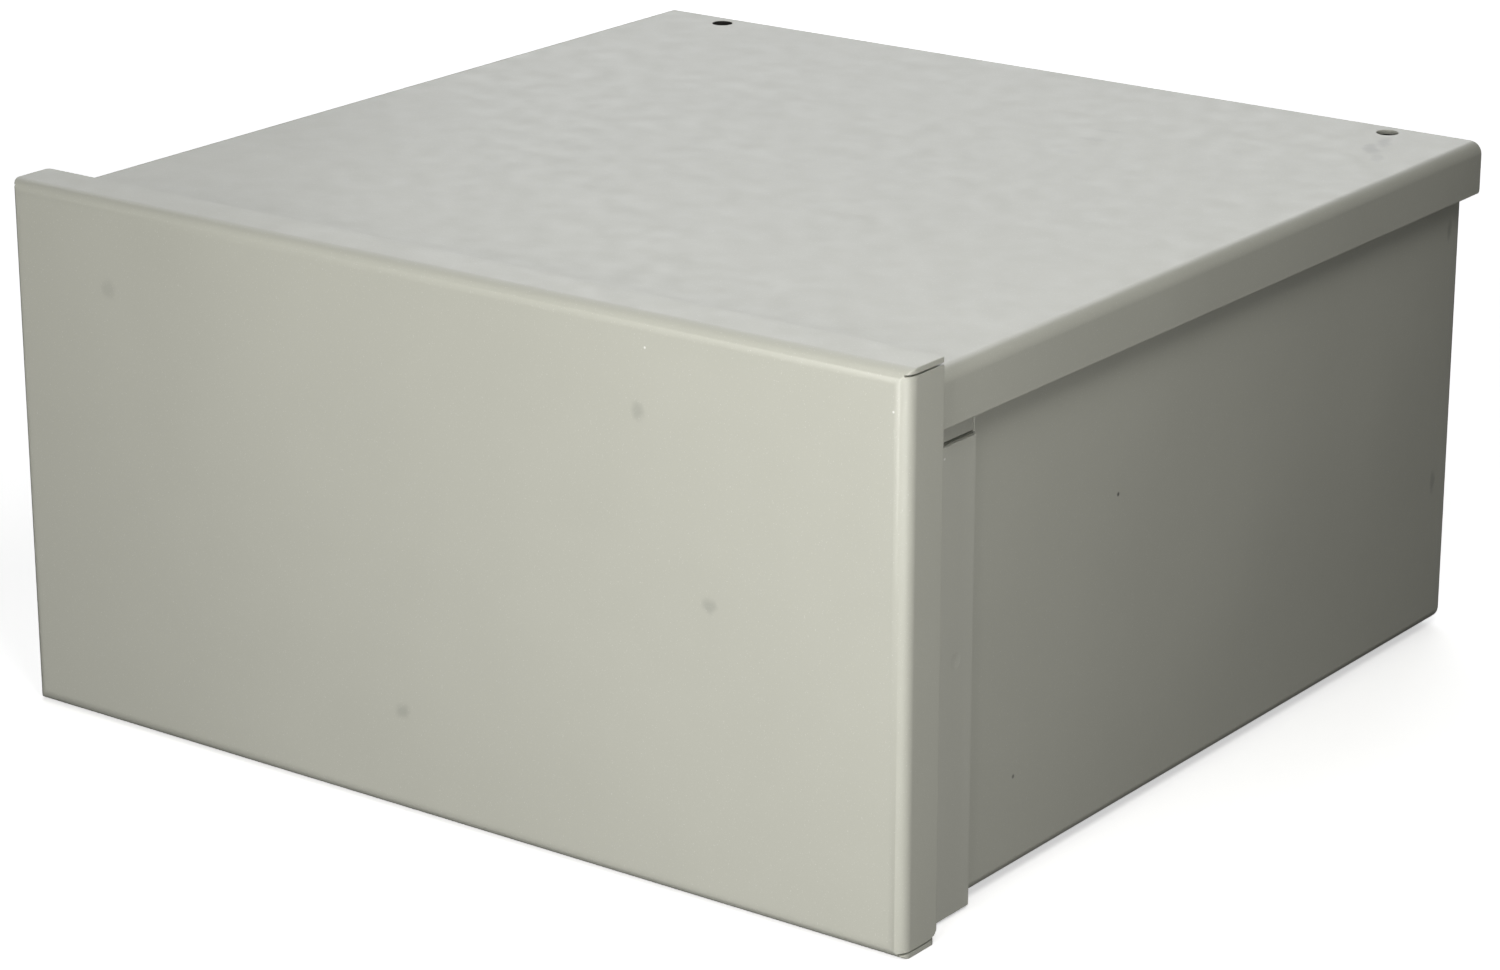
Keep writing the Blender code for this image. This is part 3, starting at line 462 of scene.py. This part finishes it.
def bevel_edges(item, width, steps):
    """Round an object's sharp edges when its modifiers are applied."""
    edge = item.modifiers.new("edges", "BEVEL")
    edge.width = width
    edge.segments = steps
    edge.limit_method = "ANGLE"
    edge.angle_limit = SHARP


def round_edges(item):
    """Round a sheet's sheared edges at once, before small cuts are made in it."""
    bevel_edges(item, EDGE_ROUND, 3)
    settle(item)


def soften(item, width, steps=2):
    """Round an object's sharp edges as bevel_edges does, and shade it smoothly."""
    bevel_edges(item, width, steps)
    item.data.polygons.foreach_set("use_smooth", [True] * len(item.data.polygons))
    even = item.modifiers.new("normals", "WEIGHTED_NORMAL")
    even.keep_sharp = True
    even.weight = 100


def fold(bm, pairs, radius):
    """Round the edge between each pair of outward axes."""
    wanted = [{one, two} for one, two in pairs]
    edges = []
    for edge in bm.edges:
        faces = {tuple(round(c) for c in face.normal) for face in edge.link_faces}
        if faces in wanted:
            edges.append(edge)
    bmesh.ops.bevel(bm, geom=edges, offset=radius, segments=FOLD_STEPS, profile=0.5,
                    affect="EDGES", clamp_overlap=True)


def folded(name, low, high, open_faces, folds, radius):
    """Open box of folded sheet, from its outer corners."""
    bm = bmesh.new()
    put_box(bm, low, high)
    bm.normal_update()
    gone = [f for f in bm.faces if tuple(round(c) for c in f.normal) in open_faces]
    bmesh.ops.delete(bm, geom=gone, context="FACES")
    fold(bm, folds, radius)
    item = link(name, bm)
    thicken(item)
    return item


def stand_for(item, node, material, round_by=EDGE_ROUND, steps=2):
    """Finish a piece that replaces a CAD node and moves with its body."""
    soften(item, round_by, steps)
    item.data.materials.clear()
    item.data.materials.append(material)
    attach(item, BODY_OF[node])
    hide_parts(node)


# ----------------------------------------------------------------- enclosure

def side_low_high(side, near, far):
    """The x of two distances from the middle on one side, the lower first."""
    return sorted((side * near, side * far))


def drip_cap(material):
    """Drip shield: a pan with four flanges, slit apart at its corners."""
    low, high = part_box("drip_cap")
    item = folded("drip_cap_sheet", low, high, [FAR],
                  [(side, NEAR) for side in (LEFT, RIGHT, UP, DOWN)], CAP_BEND)
    round_edges(item)
    slits = bmesh.new()
    for side in SIDES:
        edge = high.x if side > 0 else low.x
        near_x, far_x = sorted((edge - side * (SHEET + SLIT_DEEPER), edge + side * 2 * MM))
        for z in (low.z + SHEET, high.z - SHEET - SLIT):
            put_box(slits, (near_x, low.y + MM, z), (far_x, high.y + 2 * MM, z + SLIT))
    cut(item, slits)
    long_corners, end_corners = bmesh.new(), bmesh.new()
    for side in SIDES:
        edge = high.x if side > 0 else low.x
        inward = (-side, 0, 0)
        put_corner(long_corners, (edge, high.y, high.z), inward, NEAR, CAP_CORNERS[side], UP)
        put_corner(long_corners, (edge, high.y, low.z), inward, NEAR, CAP_LOW_CORNER, UP)
        put_corner(end_corners, (edge, high.y, low.z + SHEET + SLIT), NEAR, UP,
                   CAP_END_CORNER, RIGHT, 0.8 * SLIT)
    cut(item, long_corners)
    cut(item, end_corners)
    stand_for(item, "drip_cap", material)


def front_cover(material, hole_shade):
    """Plate with a skirt down each side. The wall of its left hole takes the near-black steel material: painted
    shade, so that hole looks dark inside.
    """
    low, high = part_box("front_cover")
    item = folded("front_cover_sheet", low, high, [DOWN, NEAR, FAR],
                  [(LEFT, UP), (RIGHT, UP)], COVER_BEND)
    holes, corners = bmesh.new(), bmesh.new()
    for x, y in cover_hole_places():
        put_bore(holes, (x, y, high.z), UP, 2 * BEYOND, COVER_HOLE_R, segments=64)
    cut(item, holes)
    for side in SIDES:
        edge = high.x if side > 0 else low.x
        put_corner(corners, (edge, high.y, low.z), NEAR, UP, COVER_FAR_CORNER, RIGHT)
        put_corner(corners, (edge, low.y, low.z), FAR, UP, COVER_NEAR_CORNER, RIGHT)
    cut(item, corners)
    stand_for(item, "front_cover", material)
    item.data.materials.append(hole_shade)
    # Painted shade: the left hole's wall gets the near-black material
    x, y = next(cover_hole_places())
    for face in item.data.polygons:
        reach = (face.center - Vector((x, y, face.center.z))).length
        if reach < COVER_HOLE_R and abs(face.normal.z) < 0.5:
            face.material_index = 1


def cover_hole_places():
    """Middles of the two holes, each over its clip nut."""
    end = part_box("front_cover")[1].y
    for node in ("clip_nut_1", "clip_nut_2"):
        low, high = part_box(node)
        yield (low.x + high.x) / 2, end - COVER_HOLE_INSET


def foot_places():
    """Middles of the four wall feet."""
    for sx in SIDES:
        for sy in SIDES:
            yield sx * FOOT_REACH, FOOT_MIDDLE_Y + sy * FOOT_REACH


def pan_screw_places():
    """Middles of the four screws that hold the pan."""
    for number in range(1, 5):
        low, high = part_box("pan_screw_%d" % number)
        yield (low.x + high.x) / 2, (low.y + high.y) / 2


def body_shell(material):
    """Back and sides in one sheet, with returns, notches, feet and screw holes."""
    low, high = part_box("body_shell")
    folds = [(side, face) for side in (LEFT, RIGHT) for face in (DOWN, UP, FAR)]
    folds += [(UP, FAR), (DOWN, FAR)]
    item = folded("body_sheet", (low.x, low.y, BACK_Z), high, [NEAR], folds, BODY_BEND)
    inner = high.x - LIP
    windows = bmesh.new()
    put_box(windows, (-inner, low.y - BEYOND, high.z - LIP / 2),
            (inner, high.y - LIP, high.z + BEYOND))
    put_box(windows, (-inner, high.y - LIP / 2, BACK_Z + LIP),
            (inner, high.y + BEYOND, high.z - LIP))
    cut(item, windows)
    notches = bmesh.new()
    for side in SIDES:
        near_x, far_x = side_low_high(side, inner - 2 * MM, high.x + BEYOND)
        put_box(notches, (near_x, low.y - BEYOND, STRIP_TOP), (far_x, NOTCH_Y, high.z + BEYOND))
    cut(item, notches)
    raised, hollow, holes = bmesh.new(), bmesh.new(), bmesh.new()
    for x, y in foot_places():
        put_cylinder(raised, (x, y, 0), UP, BACK_Z + 0.5 * MM, FOOT_R, FOOT_R + FOOT_FLARE)
        put_cylinder(hollow, (x, y, SHEET), UP, BACK_Z + SHEET, FOOT_R - 1.2 * MM,
                     FOOT_R + 1.15 * FOOT_FLARE)
        put_bore(holes, (x, y, BACK_Z), UP, 2 * BEYOND, FOOT_HOLE_R)
    for x, y in pan_screw_places():
        put_bore(holes, (x, y, BACK_Z), UP, 2 * BEYOND, PAN_HOLE_R, segments=24)
    for x, y in cover_hole_places():
        put_bore(holes, (x, y, high.z), UP, BEYOND, FLANGE_HOLE_R)
    join(item, raised)
    cut(item, hollow)
    cut(item, holes)
    stand_for(item, "body_shell", material)


def top_end_wall(material):
    """Wall under the drip shield, its flanges lapped over the sides, with a tab in each notch."""
    low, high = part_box("top_end_wall")
    side_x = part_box("body_shell")[1].x
    cap_low, cap_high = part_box("drip_cap")
    tab_x = side_x - TAB_SUNK
    faces, folds = [UP, DOWN, FAR], [(LEFT, NEAR), (RIGHT, NEAR)]
    item = folded("top_end_sheet", low, (high.x, STRIP_END_Y, STRIP_TOP), faces, folds, BODY_BEND)
    round_edges(item)
    tabs = folded("top_end_tabs", (-tab_x, low.y, TAB_BOTTOM), (tab_x, NOTCH_Y - GAP, high.z),
                  faces, folds, BODY_BEND)
    bm = bmesh.new()
    bm.from_mesh(tabs.data)
    bpy.data.objects.remove(tabs, do_unlink=True)
    join(item, bm)
    tools = bmesh.new()
    for side in SIDES:
        near_x, far_x = side_low_high(side, tab_x - SHEET - MM, side_x + GAP / 2)
        put_box(tools, (near_x, low.y + BODY_BEND, TAB_BOTTOM - MM),
                (far_x, NOTCH_Y + MM, STRIP_TOP + GAP))
    put_box(tools, (cap_low.x, cap_low.y, -MM), (cap_high.x, cap_high.y + GAP, SHEET + GAP))
    cut(item, tools)
    dimples = bmesh.new()
    for side in SIDES:
        put_dimple(dimples, (side * high.x, STRIP_WELD_Y, STRIP_WELD_Z), (side, 0, 0), WELD_R, WELD_DEPTH)
    cut(item, dimples)
    stand_for(item, "top_end_wall", material)


def bottom_end_wall(material):
    """Wall inside the body's returns, with two drain holes near the back."""
    low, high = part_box("bottom_end_wall")
    item = folded("bottom_end_sheet", low, high, [UP, DOWN, NEAR],
                  [(LEFT, FAR), (RIGHT, FAR)], BODY_BEND)
    drains = bmesh.new()
    for x in (-DRAIN_X, DRAIN_X):
        put_bore(drains, (x, high.y, BACK_Z + LIP + DRAIN_RISE), FAR, 2 * BEYOND, DRAIN_R)
    cut(item, drains)
    stand_for(item, "bottom_end_wall", material)


def clip_nut(node, material):
    """Spring-steel clip: two leaves joined by a bow, a turned-up tip and an extruded thread."""
    low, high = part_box(node)
    middle = (low.x + high.x) / 2
    hole_y = high.y - CLIP_THREAD_INSET
    top = high.z
    low_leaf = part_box("body_shell")[1].z - SHEET - GAP - CLIP_LEAF
    bm = bmesh.new()
    profile = [(high.y, top), (low.y, top), (low.y, low_leaf), (high.y - MM, low_leaf)]
    ring = [bm.verts.new((low.x, y, z)) for y, z in profile]
    edges = [bm.edges.new(pair) for pair in zip(ring, ring[1:])]
    drawn = bmesh.ops.extrude_edge_only(bm, edges=edges)["geom"]
    moved = [g for g in drawn if isinstance(g, bmesh.types.BMVert)]
    bmesh.ops.translate(bm, verts=moved, vec=(high.x - low.x, 0, 0))
    bends = [e for e in bm.edges if len(e.link_faces) == 2]
    bmesh.ops.bevel(bm, geom=bends, offset=CLIP_BOW_R, segments=6, profile=0.5, affect="EDGES")
    item = link(node + "_spring", bm)
    thicken(item, CLIP_LEAF, 1.0)
    tip_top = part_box("front_cover")[1].z - SHEET - CLIP_TIP_PLAY
    barrel, thread = bmesh.new(), bmesh.new()
    put_box(barrel, (low.x, high.y - CLIP_LEAF, top - CLIP_LEAF / 2), (high.x, high.y, tip_top))
    put_cylinder(barrel, (middle, hole_y, low.z), UP, low_leaf - low.z + 0.3 * MM,
                 CLIP_BARREL_R, CLIP_BARREL_TOP_R)
    put_bore(thread, (middle, hole_y, low.z), UP, 2 * BEYOND, CLIP_THREAD_R)
    join(item, barrel)
    cut(item, thread)
    stand_for(item, node, material, SMALL_ROUND)


# ------------------------------------------------------------------ interior

def keep_node(node, material, round_by=0.35 * MM):
    """Dress a CAD node whose shape is right, and round its edges."""
    item = frame["nodes"][node]
    weld = item.modifiers.new("weld", "WELD")
    weld.merge_threshold = 0.00001
    bevel_edges(item, round_by, 2)
    even = item.modifiers.new("normals", "WEIGHTED_NORMAL")
    even.keep_sharp = True
    item.data.materials.clear()
    item.data.materials.append(material)


def drive_turn(node):
    """Degrees that a screw's slot is turned by, from its name, so that the slots don't line up."""
    return sum(ord(letter) * (place + 3) for place, letter in enumerate(node)) * 37 % 180


def screw(node, material, head_height):
    """Pan head with a combination drive, on its shank."""
    low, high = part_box(node)
    middle = (low + high) / 2
    radius = (high.x - low.x) / 2
    seat = high.z - head_height
    profile = [(0.0, high.z)]
    for step in range(1, CORNER_STEPS + 1):
        angle = math.radians(90 * step / CORNER_STEPS)
        profile.append((radius * (0.55 + 0.45 * math.sin(angle)),
                        seat + head_height * (0.35 + 0.65 * math.cos(angle))))
    profile.append((radius, seat))
    if seat - low.z > 0.2 * MM:
        shank = min(1.8 * MM, radius * 0.6)
        profile += [(shank, seat), (shank, low.z)]
        bottom = low.z
    else:
        bottom = seat
    profile.append((0.0, bottom))
    bm = bmesh.new()
    put_turned(bm, middle.x, middle.y, profile, 32)
    item = link(node + "_head", bm)
    turn = Matrix.Translation(Vector((middle.x, middle.y, 0)))
    turn = turn @ Matrix.Rotation(math.radians(drive_turn(node)), 4, "Z")
    thin, long, short = 0.09 * radius + 0.25 * MM, 1.2 * radius, 0.62 * radius
    for half_x, half_y, depth in ((long, thin, 0.5 * head_height), (thin, short, 0.62 * head_height)):
        drive = bmesh.new()
        verts = put_box(drive, (-half_x, -half_y, high.z - depth), (half_x, half_y, high.z + MM))
        bmesh.ops.transform(drive, matrix=turn, verts=verts)
        cut(item, drive)
    stand_for(item, node, material, SMALL_ROUND)


def breaker_case(node, side, rows, material):
    """Moulded case: nose, shoulder, terminal ledge, slot for the handle."""
    low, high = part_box(node)
    inner, outer = (low.x, high.x) if side > 0 else (high.x, low.x)
    nose_inner, nose_outer = side * NOSE_X[0], side * NOSE_X[1]
    outline = [(inner, low.z), (outer, low.z), (outer, LEDGE_Z), (side * LEDGE_X, LEDGE_Z),
               (side * LEDGE_X, SHOULDER_Z), (nose_outer, SHOULDER_Z), (nose_outer, high.z),
               (nose_inner, high.z), (nose_inner, SHOULDER_Z), (inner, SHOULDER_Z)]
    bm = bmesh.new()
    put_prism(bm, [(x, 0, z) for x, z in outline], FAR, low.y, high.y)
    item = link(node + "_moulding", bm)
    pivot = PIVOT_OF["toggle" + node[len("breaker"):] + "_body"]
    reach = (HANDLE_WIDTH + (len(rows) - 1) * PITCH) / 2 + PLAY
    pocket, slot, recesses = bmesh.new(), bmesh.new(), bmesh.new()
    put_bore(pocket, pivot, FAR, 2 * reach, BARREL_R + PLAY)
    cut(item, pocket)
    put_box(slot, (pivot.x - SLOT_HALF, pivot.y - reach, pivot.z),
            (pivot.x + SLOT_HALF, pivot.y + reach, high.z + BEYOND))
    cut(item, slot)
    for y in rows:
        near_x, far_x = side_low_high(side, 0, STAB_X)
        put_box(recesses, (near_x, y - STAB_HALF, low.z - STAB_BELOW), (far_x, y + STAB_HALF, STAB_TOP))
        near_x, far_x = side_low_high(side, abs(outer) - WIRE_DEPTH, abs(outer) + 3 * MM)
        put_box(recesses, (near_x, y - WIRE_HALF, LEDGE_Z - WIRE_BELOW[0]),
                (far_x, y + WIRE_HALF, LEDGE_Z - WIRE_BELOW[1]))
    cut(item, recesses)
    breaker_seams(item, side, rows, low, high)
    stand_for(item, node, material, 0.5 * MM, 3)


def breaker_seams(item, side, rows, low, high):
    """Parting lines, a sunk panel and the marks for on and off on each nose."""
    grooves, panels, marks = bmesh.new(), bmesh.new(), bmesh.new()
    for first, second in zip(rows, rows[1:]):
        y = (first + second) / 2
        put_box(grooves, (low.x - MM, y - SEAM_HALF, SHOULDER_Z - SEAM_BELOW),
                (high.x + MM, y + SEAM_HALF, high.z + MM))
    if len(rows) > 1:
        cut(item, grooves)
    else:
        grooves.free()
    for y in rows:
        near_x, far_x = side_low_high(side, NOSE_X[1] - PANEL_INSET[0], NOSE_X[1] - PANEL_INSET[1])
        put_box(panels, (near_x, y - PANEL_HALF, high.z - PANEL_SUNK),
                (far_x, y + PANEL_HALF, high.z + MM))
    cut(item, panels)
    for y in rows:
        x = side * (NOSE_X[0] + BAR_INSET)
        put_box(marks, (x - BAR_HALF[0], y - BAR_HALF[1], high.z - MARK_ROOT),
                (x + BAR_HALF[0], y + BAR_HALF[1], high.z + BAR_RISE))
        x = side * (NOSE_X[1] - RING_INSET)
        put_ring(marks, (x, y, high.z - MARK_ROOT), RING_R, RING_HOLE_R, RING_HEIGHT)
    join(item, marks)


def put_ring(bm, base, radius, inner_radius, height):
    """Add a closed flat ring that stands on base."""
    x, y, z = base
    profile = [(radius, z), (radius, z + height), (inner_radius, z + height), (inner_radius, z)]
    put_turned(bm, x, y, profile, 24, closed=True)


def handle(node, side, rows, material):
    """Breaker handle on its barrel: a tapered lever with grip ribs."""
    pivot = PIVOT_OF[node + "_body"]
    width = HANDLE_WIDTH + (len(rows) - 1) * PITCH
    bm = bmesh.new()
    put_bore(bm, pivot, FAR, width, BARREL_R, segments=64)
    item = link(node + "_moulding", bm)
    lever = bmesh.new()
    half, reach = LEVER_HALF, LEVER_REACH
    tip = 0.75 * half
    outline = [(-half, 0.0), (half, 0.0), (tip, reach - LEVER_CHAMFER), (tip - MM, reach),
               (MM - tip, reach), (-tip, reach - LEVER_CHAMFER)]
    put_prism(lever, [pivot + Vector((x, 0, z)) for x, z in outline], FAR, -width / 2, width / 2)
    for vert in lever.verts:
        share = (vert.co.z - pivot.z) / reach
        vert.co.y = pivot.y + (vert.co.y - pivot.y) * (1 - LEVER_TAPER * share)
    join(item, lever)
    ribs = bmesh.new()
    for step in range(RIBS):
        z = pivot.z + reach - (RIB_START + RIB_PITCH * step) * MM
        for face in SIDES:
            put_bore(ribs, (pivot.x + face * (half - RIB_PROUD), pivot.y, z), FAR, width * RIB_SHARE,
                     RIB_R, segments=12)
    cut(item, ribs)
    tilt = Matrix.Translation(pivot) @ Matrix.Rotation(math.radians(-side * TILT), 4, "Y")
    item.data.transform(tilt @ Matrix.Translation(-pivot))
    stand_for(item, node, material, 0.35 * MM, 3)


def dead_front(material):
    """Inner plate: a raised border in four lengths, breaker windows and twist-out scores."""
    low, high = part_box("dead_front")
    bm = bmesh.new()
    put_box(bm, low, high)
    item = link("dead_front_plate", bm)
    corners = bmesh.new()
    for sx in SIDES:
        for sy in SIDES:
            place = (high.x if sx > 0 else low.x, high.y if sy > 0 else low.y, high.z)
            put_corner(corners, place, (-sx, 0, 0), (0, -sy, 0), PLATE_CORNER, UP)
    cut(item, corners)
    first, last = ROWS_Y[0] - PITCH / 2 - GAP, ROWS_Y[-1] + PITCH / 2 + GAP
    openings, scores, bead = bmesh.new(), bmesh.new(), bmesh.new()
    for side in SIDES:
        near_x, far_x = side_low_high(side, NOSE_X[0] - WINDOW_PLAY, NOSE_X[1] + WINDOW_PLAY)
        put_box(openings, (near_x, first, low.z - BEYOND), (far_x, last, high.z + BEYOND))
    for number in range(1, 5):
        box_low, box_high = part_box("dead_front_screw_%d" % number)
        place = ((box_low.x + box_high.x) / 2, (box_low.y + box_high.y) / 2, high.z)
        put_bore(openings, place, UP, 2 * BEYOND, PLATE_HOLE_R)
    cut(item, openings)
    for side in SIDES:
        for y in [first, *(row + PITCH / 2 for row in ROWS_Y[:-1]), last]:
            near_x, far_x = side_low_high(side, NOSE_X[1] + WINDOW_PLAY + MM, NOSE_X[1] + SCORE_REACH)
            put_box(scores, (near_x, y - SCORE_HALF, high.z - SCORE_DEPTH),
                    (far_x, y + SCORE_HALF, high.z + MM))
    cut(item, scores)
    root, crest = high.z - BEAD_ROOT, high.z + BEAD_RISE
    for x in (low.x + BEAD_INSET, high.x - BEAD_INSET - BEAD_WIDTH):
        put_box(bead, (x, BEAD_Y[0], root), (x + BEAD_WIDTH, BEAD_Y[1], crest))
    for y in (low.y + BEAD_INSET, high.y - BEAD_INSET - BEAD_WIDTH):
        put_box(bead, (low.x + BEAD_END_INSET, y, root), (high.x - BEAD_END_INSET, y + BEAD_WIDTH, crest))
    join(item, bead)
    stand_for(item, "dead_front", material, 0.3 * MM)


# --------------------------------------------------------------------- stage

def floor():
    """White floor that glows a little, and whose bounce doesn't wash out the shaded side."""
    bm = bmesh.new()
    bmesh.ops.create_grid(bm, x_segments=1, y_segments=1, size=FLOOR_REACH)
    item = link("studio_floor", bm)
    look = Look("studio_floor_paint", rough=0.9)
    tone = look.remap(look.noise(0.8, detail=1.0), 0.3, 0.7)
    look.feed("Base Color", look.mix(tone, FLOOR_LIGHT, FLOOR_DARK))
    look.shader.inputs["Specular IOR Level"].default_value = 0.0
    look.feed("Emission Color", look.mix(tone, FLOOR_LIGHT, FLOOR_DARK))
    look.shader.inputs["Emission Strength"].default_value = FLOOR_GLOW
    item.data.materials.append(look.material)
    item.visible_diffuse = item.visible_glossy = False


def softbox(name, place, size, power, colour):
    """Square soft light that faces the middle of the object and isn't itself seen."""
    data = bpy.data.lights.new(name, "AREA")
    data.shape = "SQUARE"
    data.size = size
    data.energy = power
    data.color = colour
    item = bpy.data.objects.new(name, data)
    item.location = place
    item.rotation_euler = (Vector(SOFTBOX_AIM) - Vector(place)).to_track_quat("-Z", "Y").to_euler()
    item.visible_camera = False
    bpy.context.scene.collection.objects.link(item)


def world_light():
    world = bpy.data.worlds.new("studio")
    world.use_nodes = True
    background = world.node_tree.nodes["Background"]
    background.inputs["Color"].default_value = WORLD_COLOUR
    background.inputs["Strength"].default_value = WORLD_STRENGTH
    bpy.context.scene.world = world


def camera():
    data = bpy.data.cameras.new("camera")
    data.lens = CAMERA_LENS
    data.sensor_width = CAMERA_SENSOR
    item = bpy.data.objects.new("camera", data)
    item.location = CAMERA_PLACE
    item.rotation_euler = Vector(CAMERA_AIM).to_track_quat("-Z", "Y").to_euler()
    bpy.context.scene.collection.objects.link(item)
    bpy.context.scene.camera = item


def stage():
    camera()
    floor()
    world_light()
    for name, settings in SOFTBOXES.items():
        softbox(name, *settings)
    bpy.context.scene.view_settings.view_transform = "Standard"
    bpy.context.scene.view_settings.look = "None"


# ---------------------------------------------------------------- everything

def dress_enclosure():
    drip_cap(powder_coat("drip_cap_coat", CAP_MARKS))
    black = phosphated_steel("black_steel_and_hole_shade")
    # The clip nuts' black steel also paints shade on the wall of the cover's left hole
    front_cover(powder_coat("cover_coat", COVER_MARKS), black)
    # Its coat carries painted shade: dark spots for two weld dents near the far end of the right side
    body_shell(powder_coat("body_coat", BODY_MARKS_AND_DENT_SHADE))
    # Painted light: this coat is lifted towards white, so the lapped strips read lighter where the drip cap's
    # flange shades them
    top_end_wall(powder_coat("top_end_painted_light_coat", STRIP_MARKS, painted_light_lift=0.035))
    bottom_end_wall(powder_coat("bottom_end_coat"))
    for node in ("clip_nut_1", "clip_nut_2"):
        clip_nut(node, black)


def dress_interior():
    coat = powder_coat("inner_coat")
    zinc = zinc_plate("pan_zinc")
    steel = drawn_metal("screw_plating", rgba(0.62, 0.61, 0.58), rgba(0.42, 0.41, 0.38), (1, 1, 1))
    bar = drawn_metal("extruded_aluminium", rgba(0.80, 0.80, 0.81), rgba(0.60, 0.60, 0.62), (6, 0.4, 6))
    black = moulded_plastic("breaker_plastic", rgba(0.020, 0.020, 0.022), rgba(0.013, 0.013, 0.014), 0.42)
    dark = moulded_plastic("base_plastic", rgba(0.060, 0.060, 0.066), rgba(0.040, 0.040, 0.044), 0.52)
    ivory = moulded_plastic("ivory_plastic", rgba(0.74, 0.72, 0.66), rgba(0.66, 0.63, 0.56), 0.40)
    dead_front(coat)
    for node in ("dead_front_rail_1", "dead_front_rail_2"):
        keep_node(node, coat)
    keep_node("interior_pan", zinc)
    keep_node("base_insulator", dark, 0.6 * MM)
    for node in ("bus_bar_a", "bus_bar_b", "line_lug_1", "line_lug_2", "neutral_bar", "ground_bar"):
        keep_node(node, bar)
    keep_node("neutral_support", ivory, 0.8 * MM)
    for node in sorted(SLOT_OF):
        if "screw" in node:
            screw(node, steel, HEAD_HEIGHT[node.rstrip("0123456789").rstrip("_")])
    for node in sorted(SLOT_OF):
        if node.startswith("breaker_"):
            side = 1 if "right" in node else -1
            rows = rows_of(node)
            breaker_case(node, side, rows, black)
            lever = node.replace("breaker", "toggle")
            handle(lever, side, rows, black if len(rows) > 1 else ivory)


def rows_of(node):
    """Middles of the rows that a breaker fills."""
    low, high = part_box(node)
    return [y for y in ROWS_Y if low.y < y < high.y]


stage()
dress_enclosure()
dress_interior()
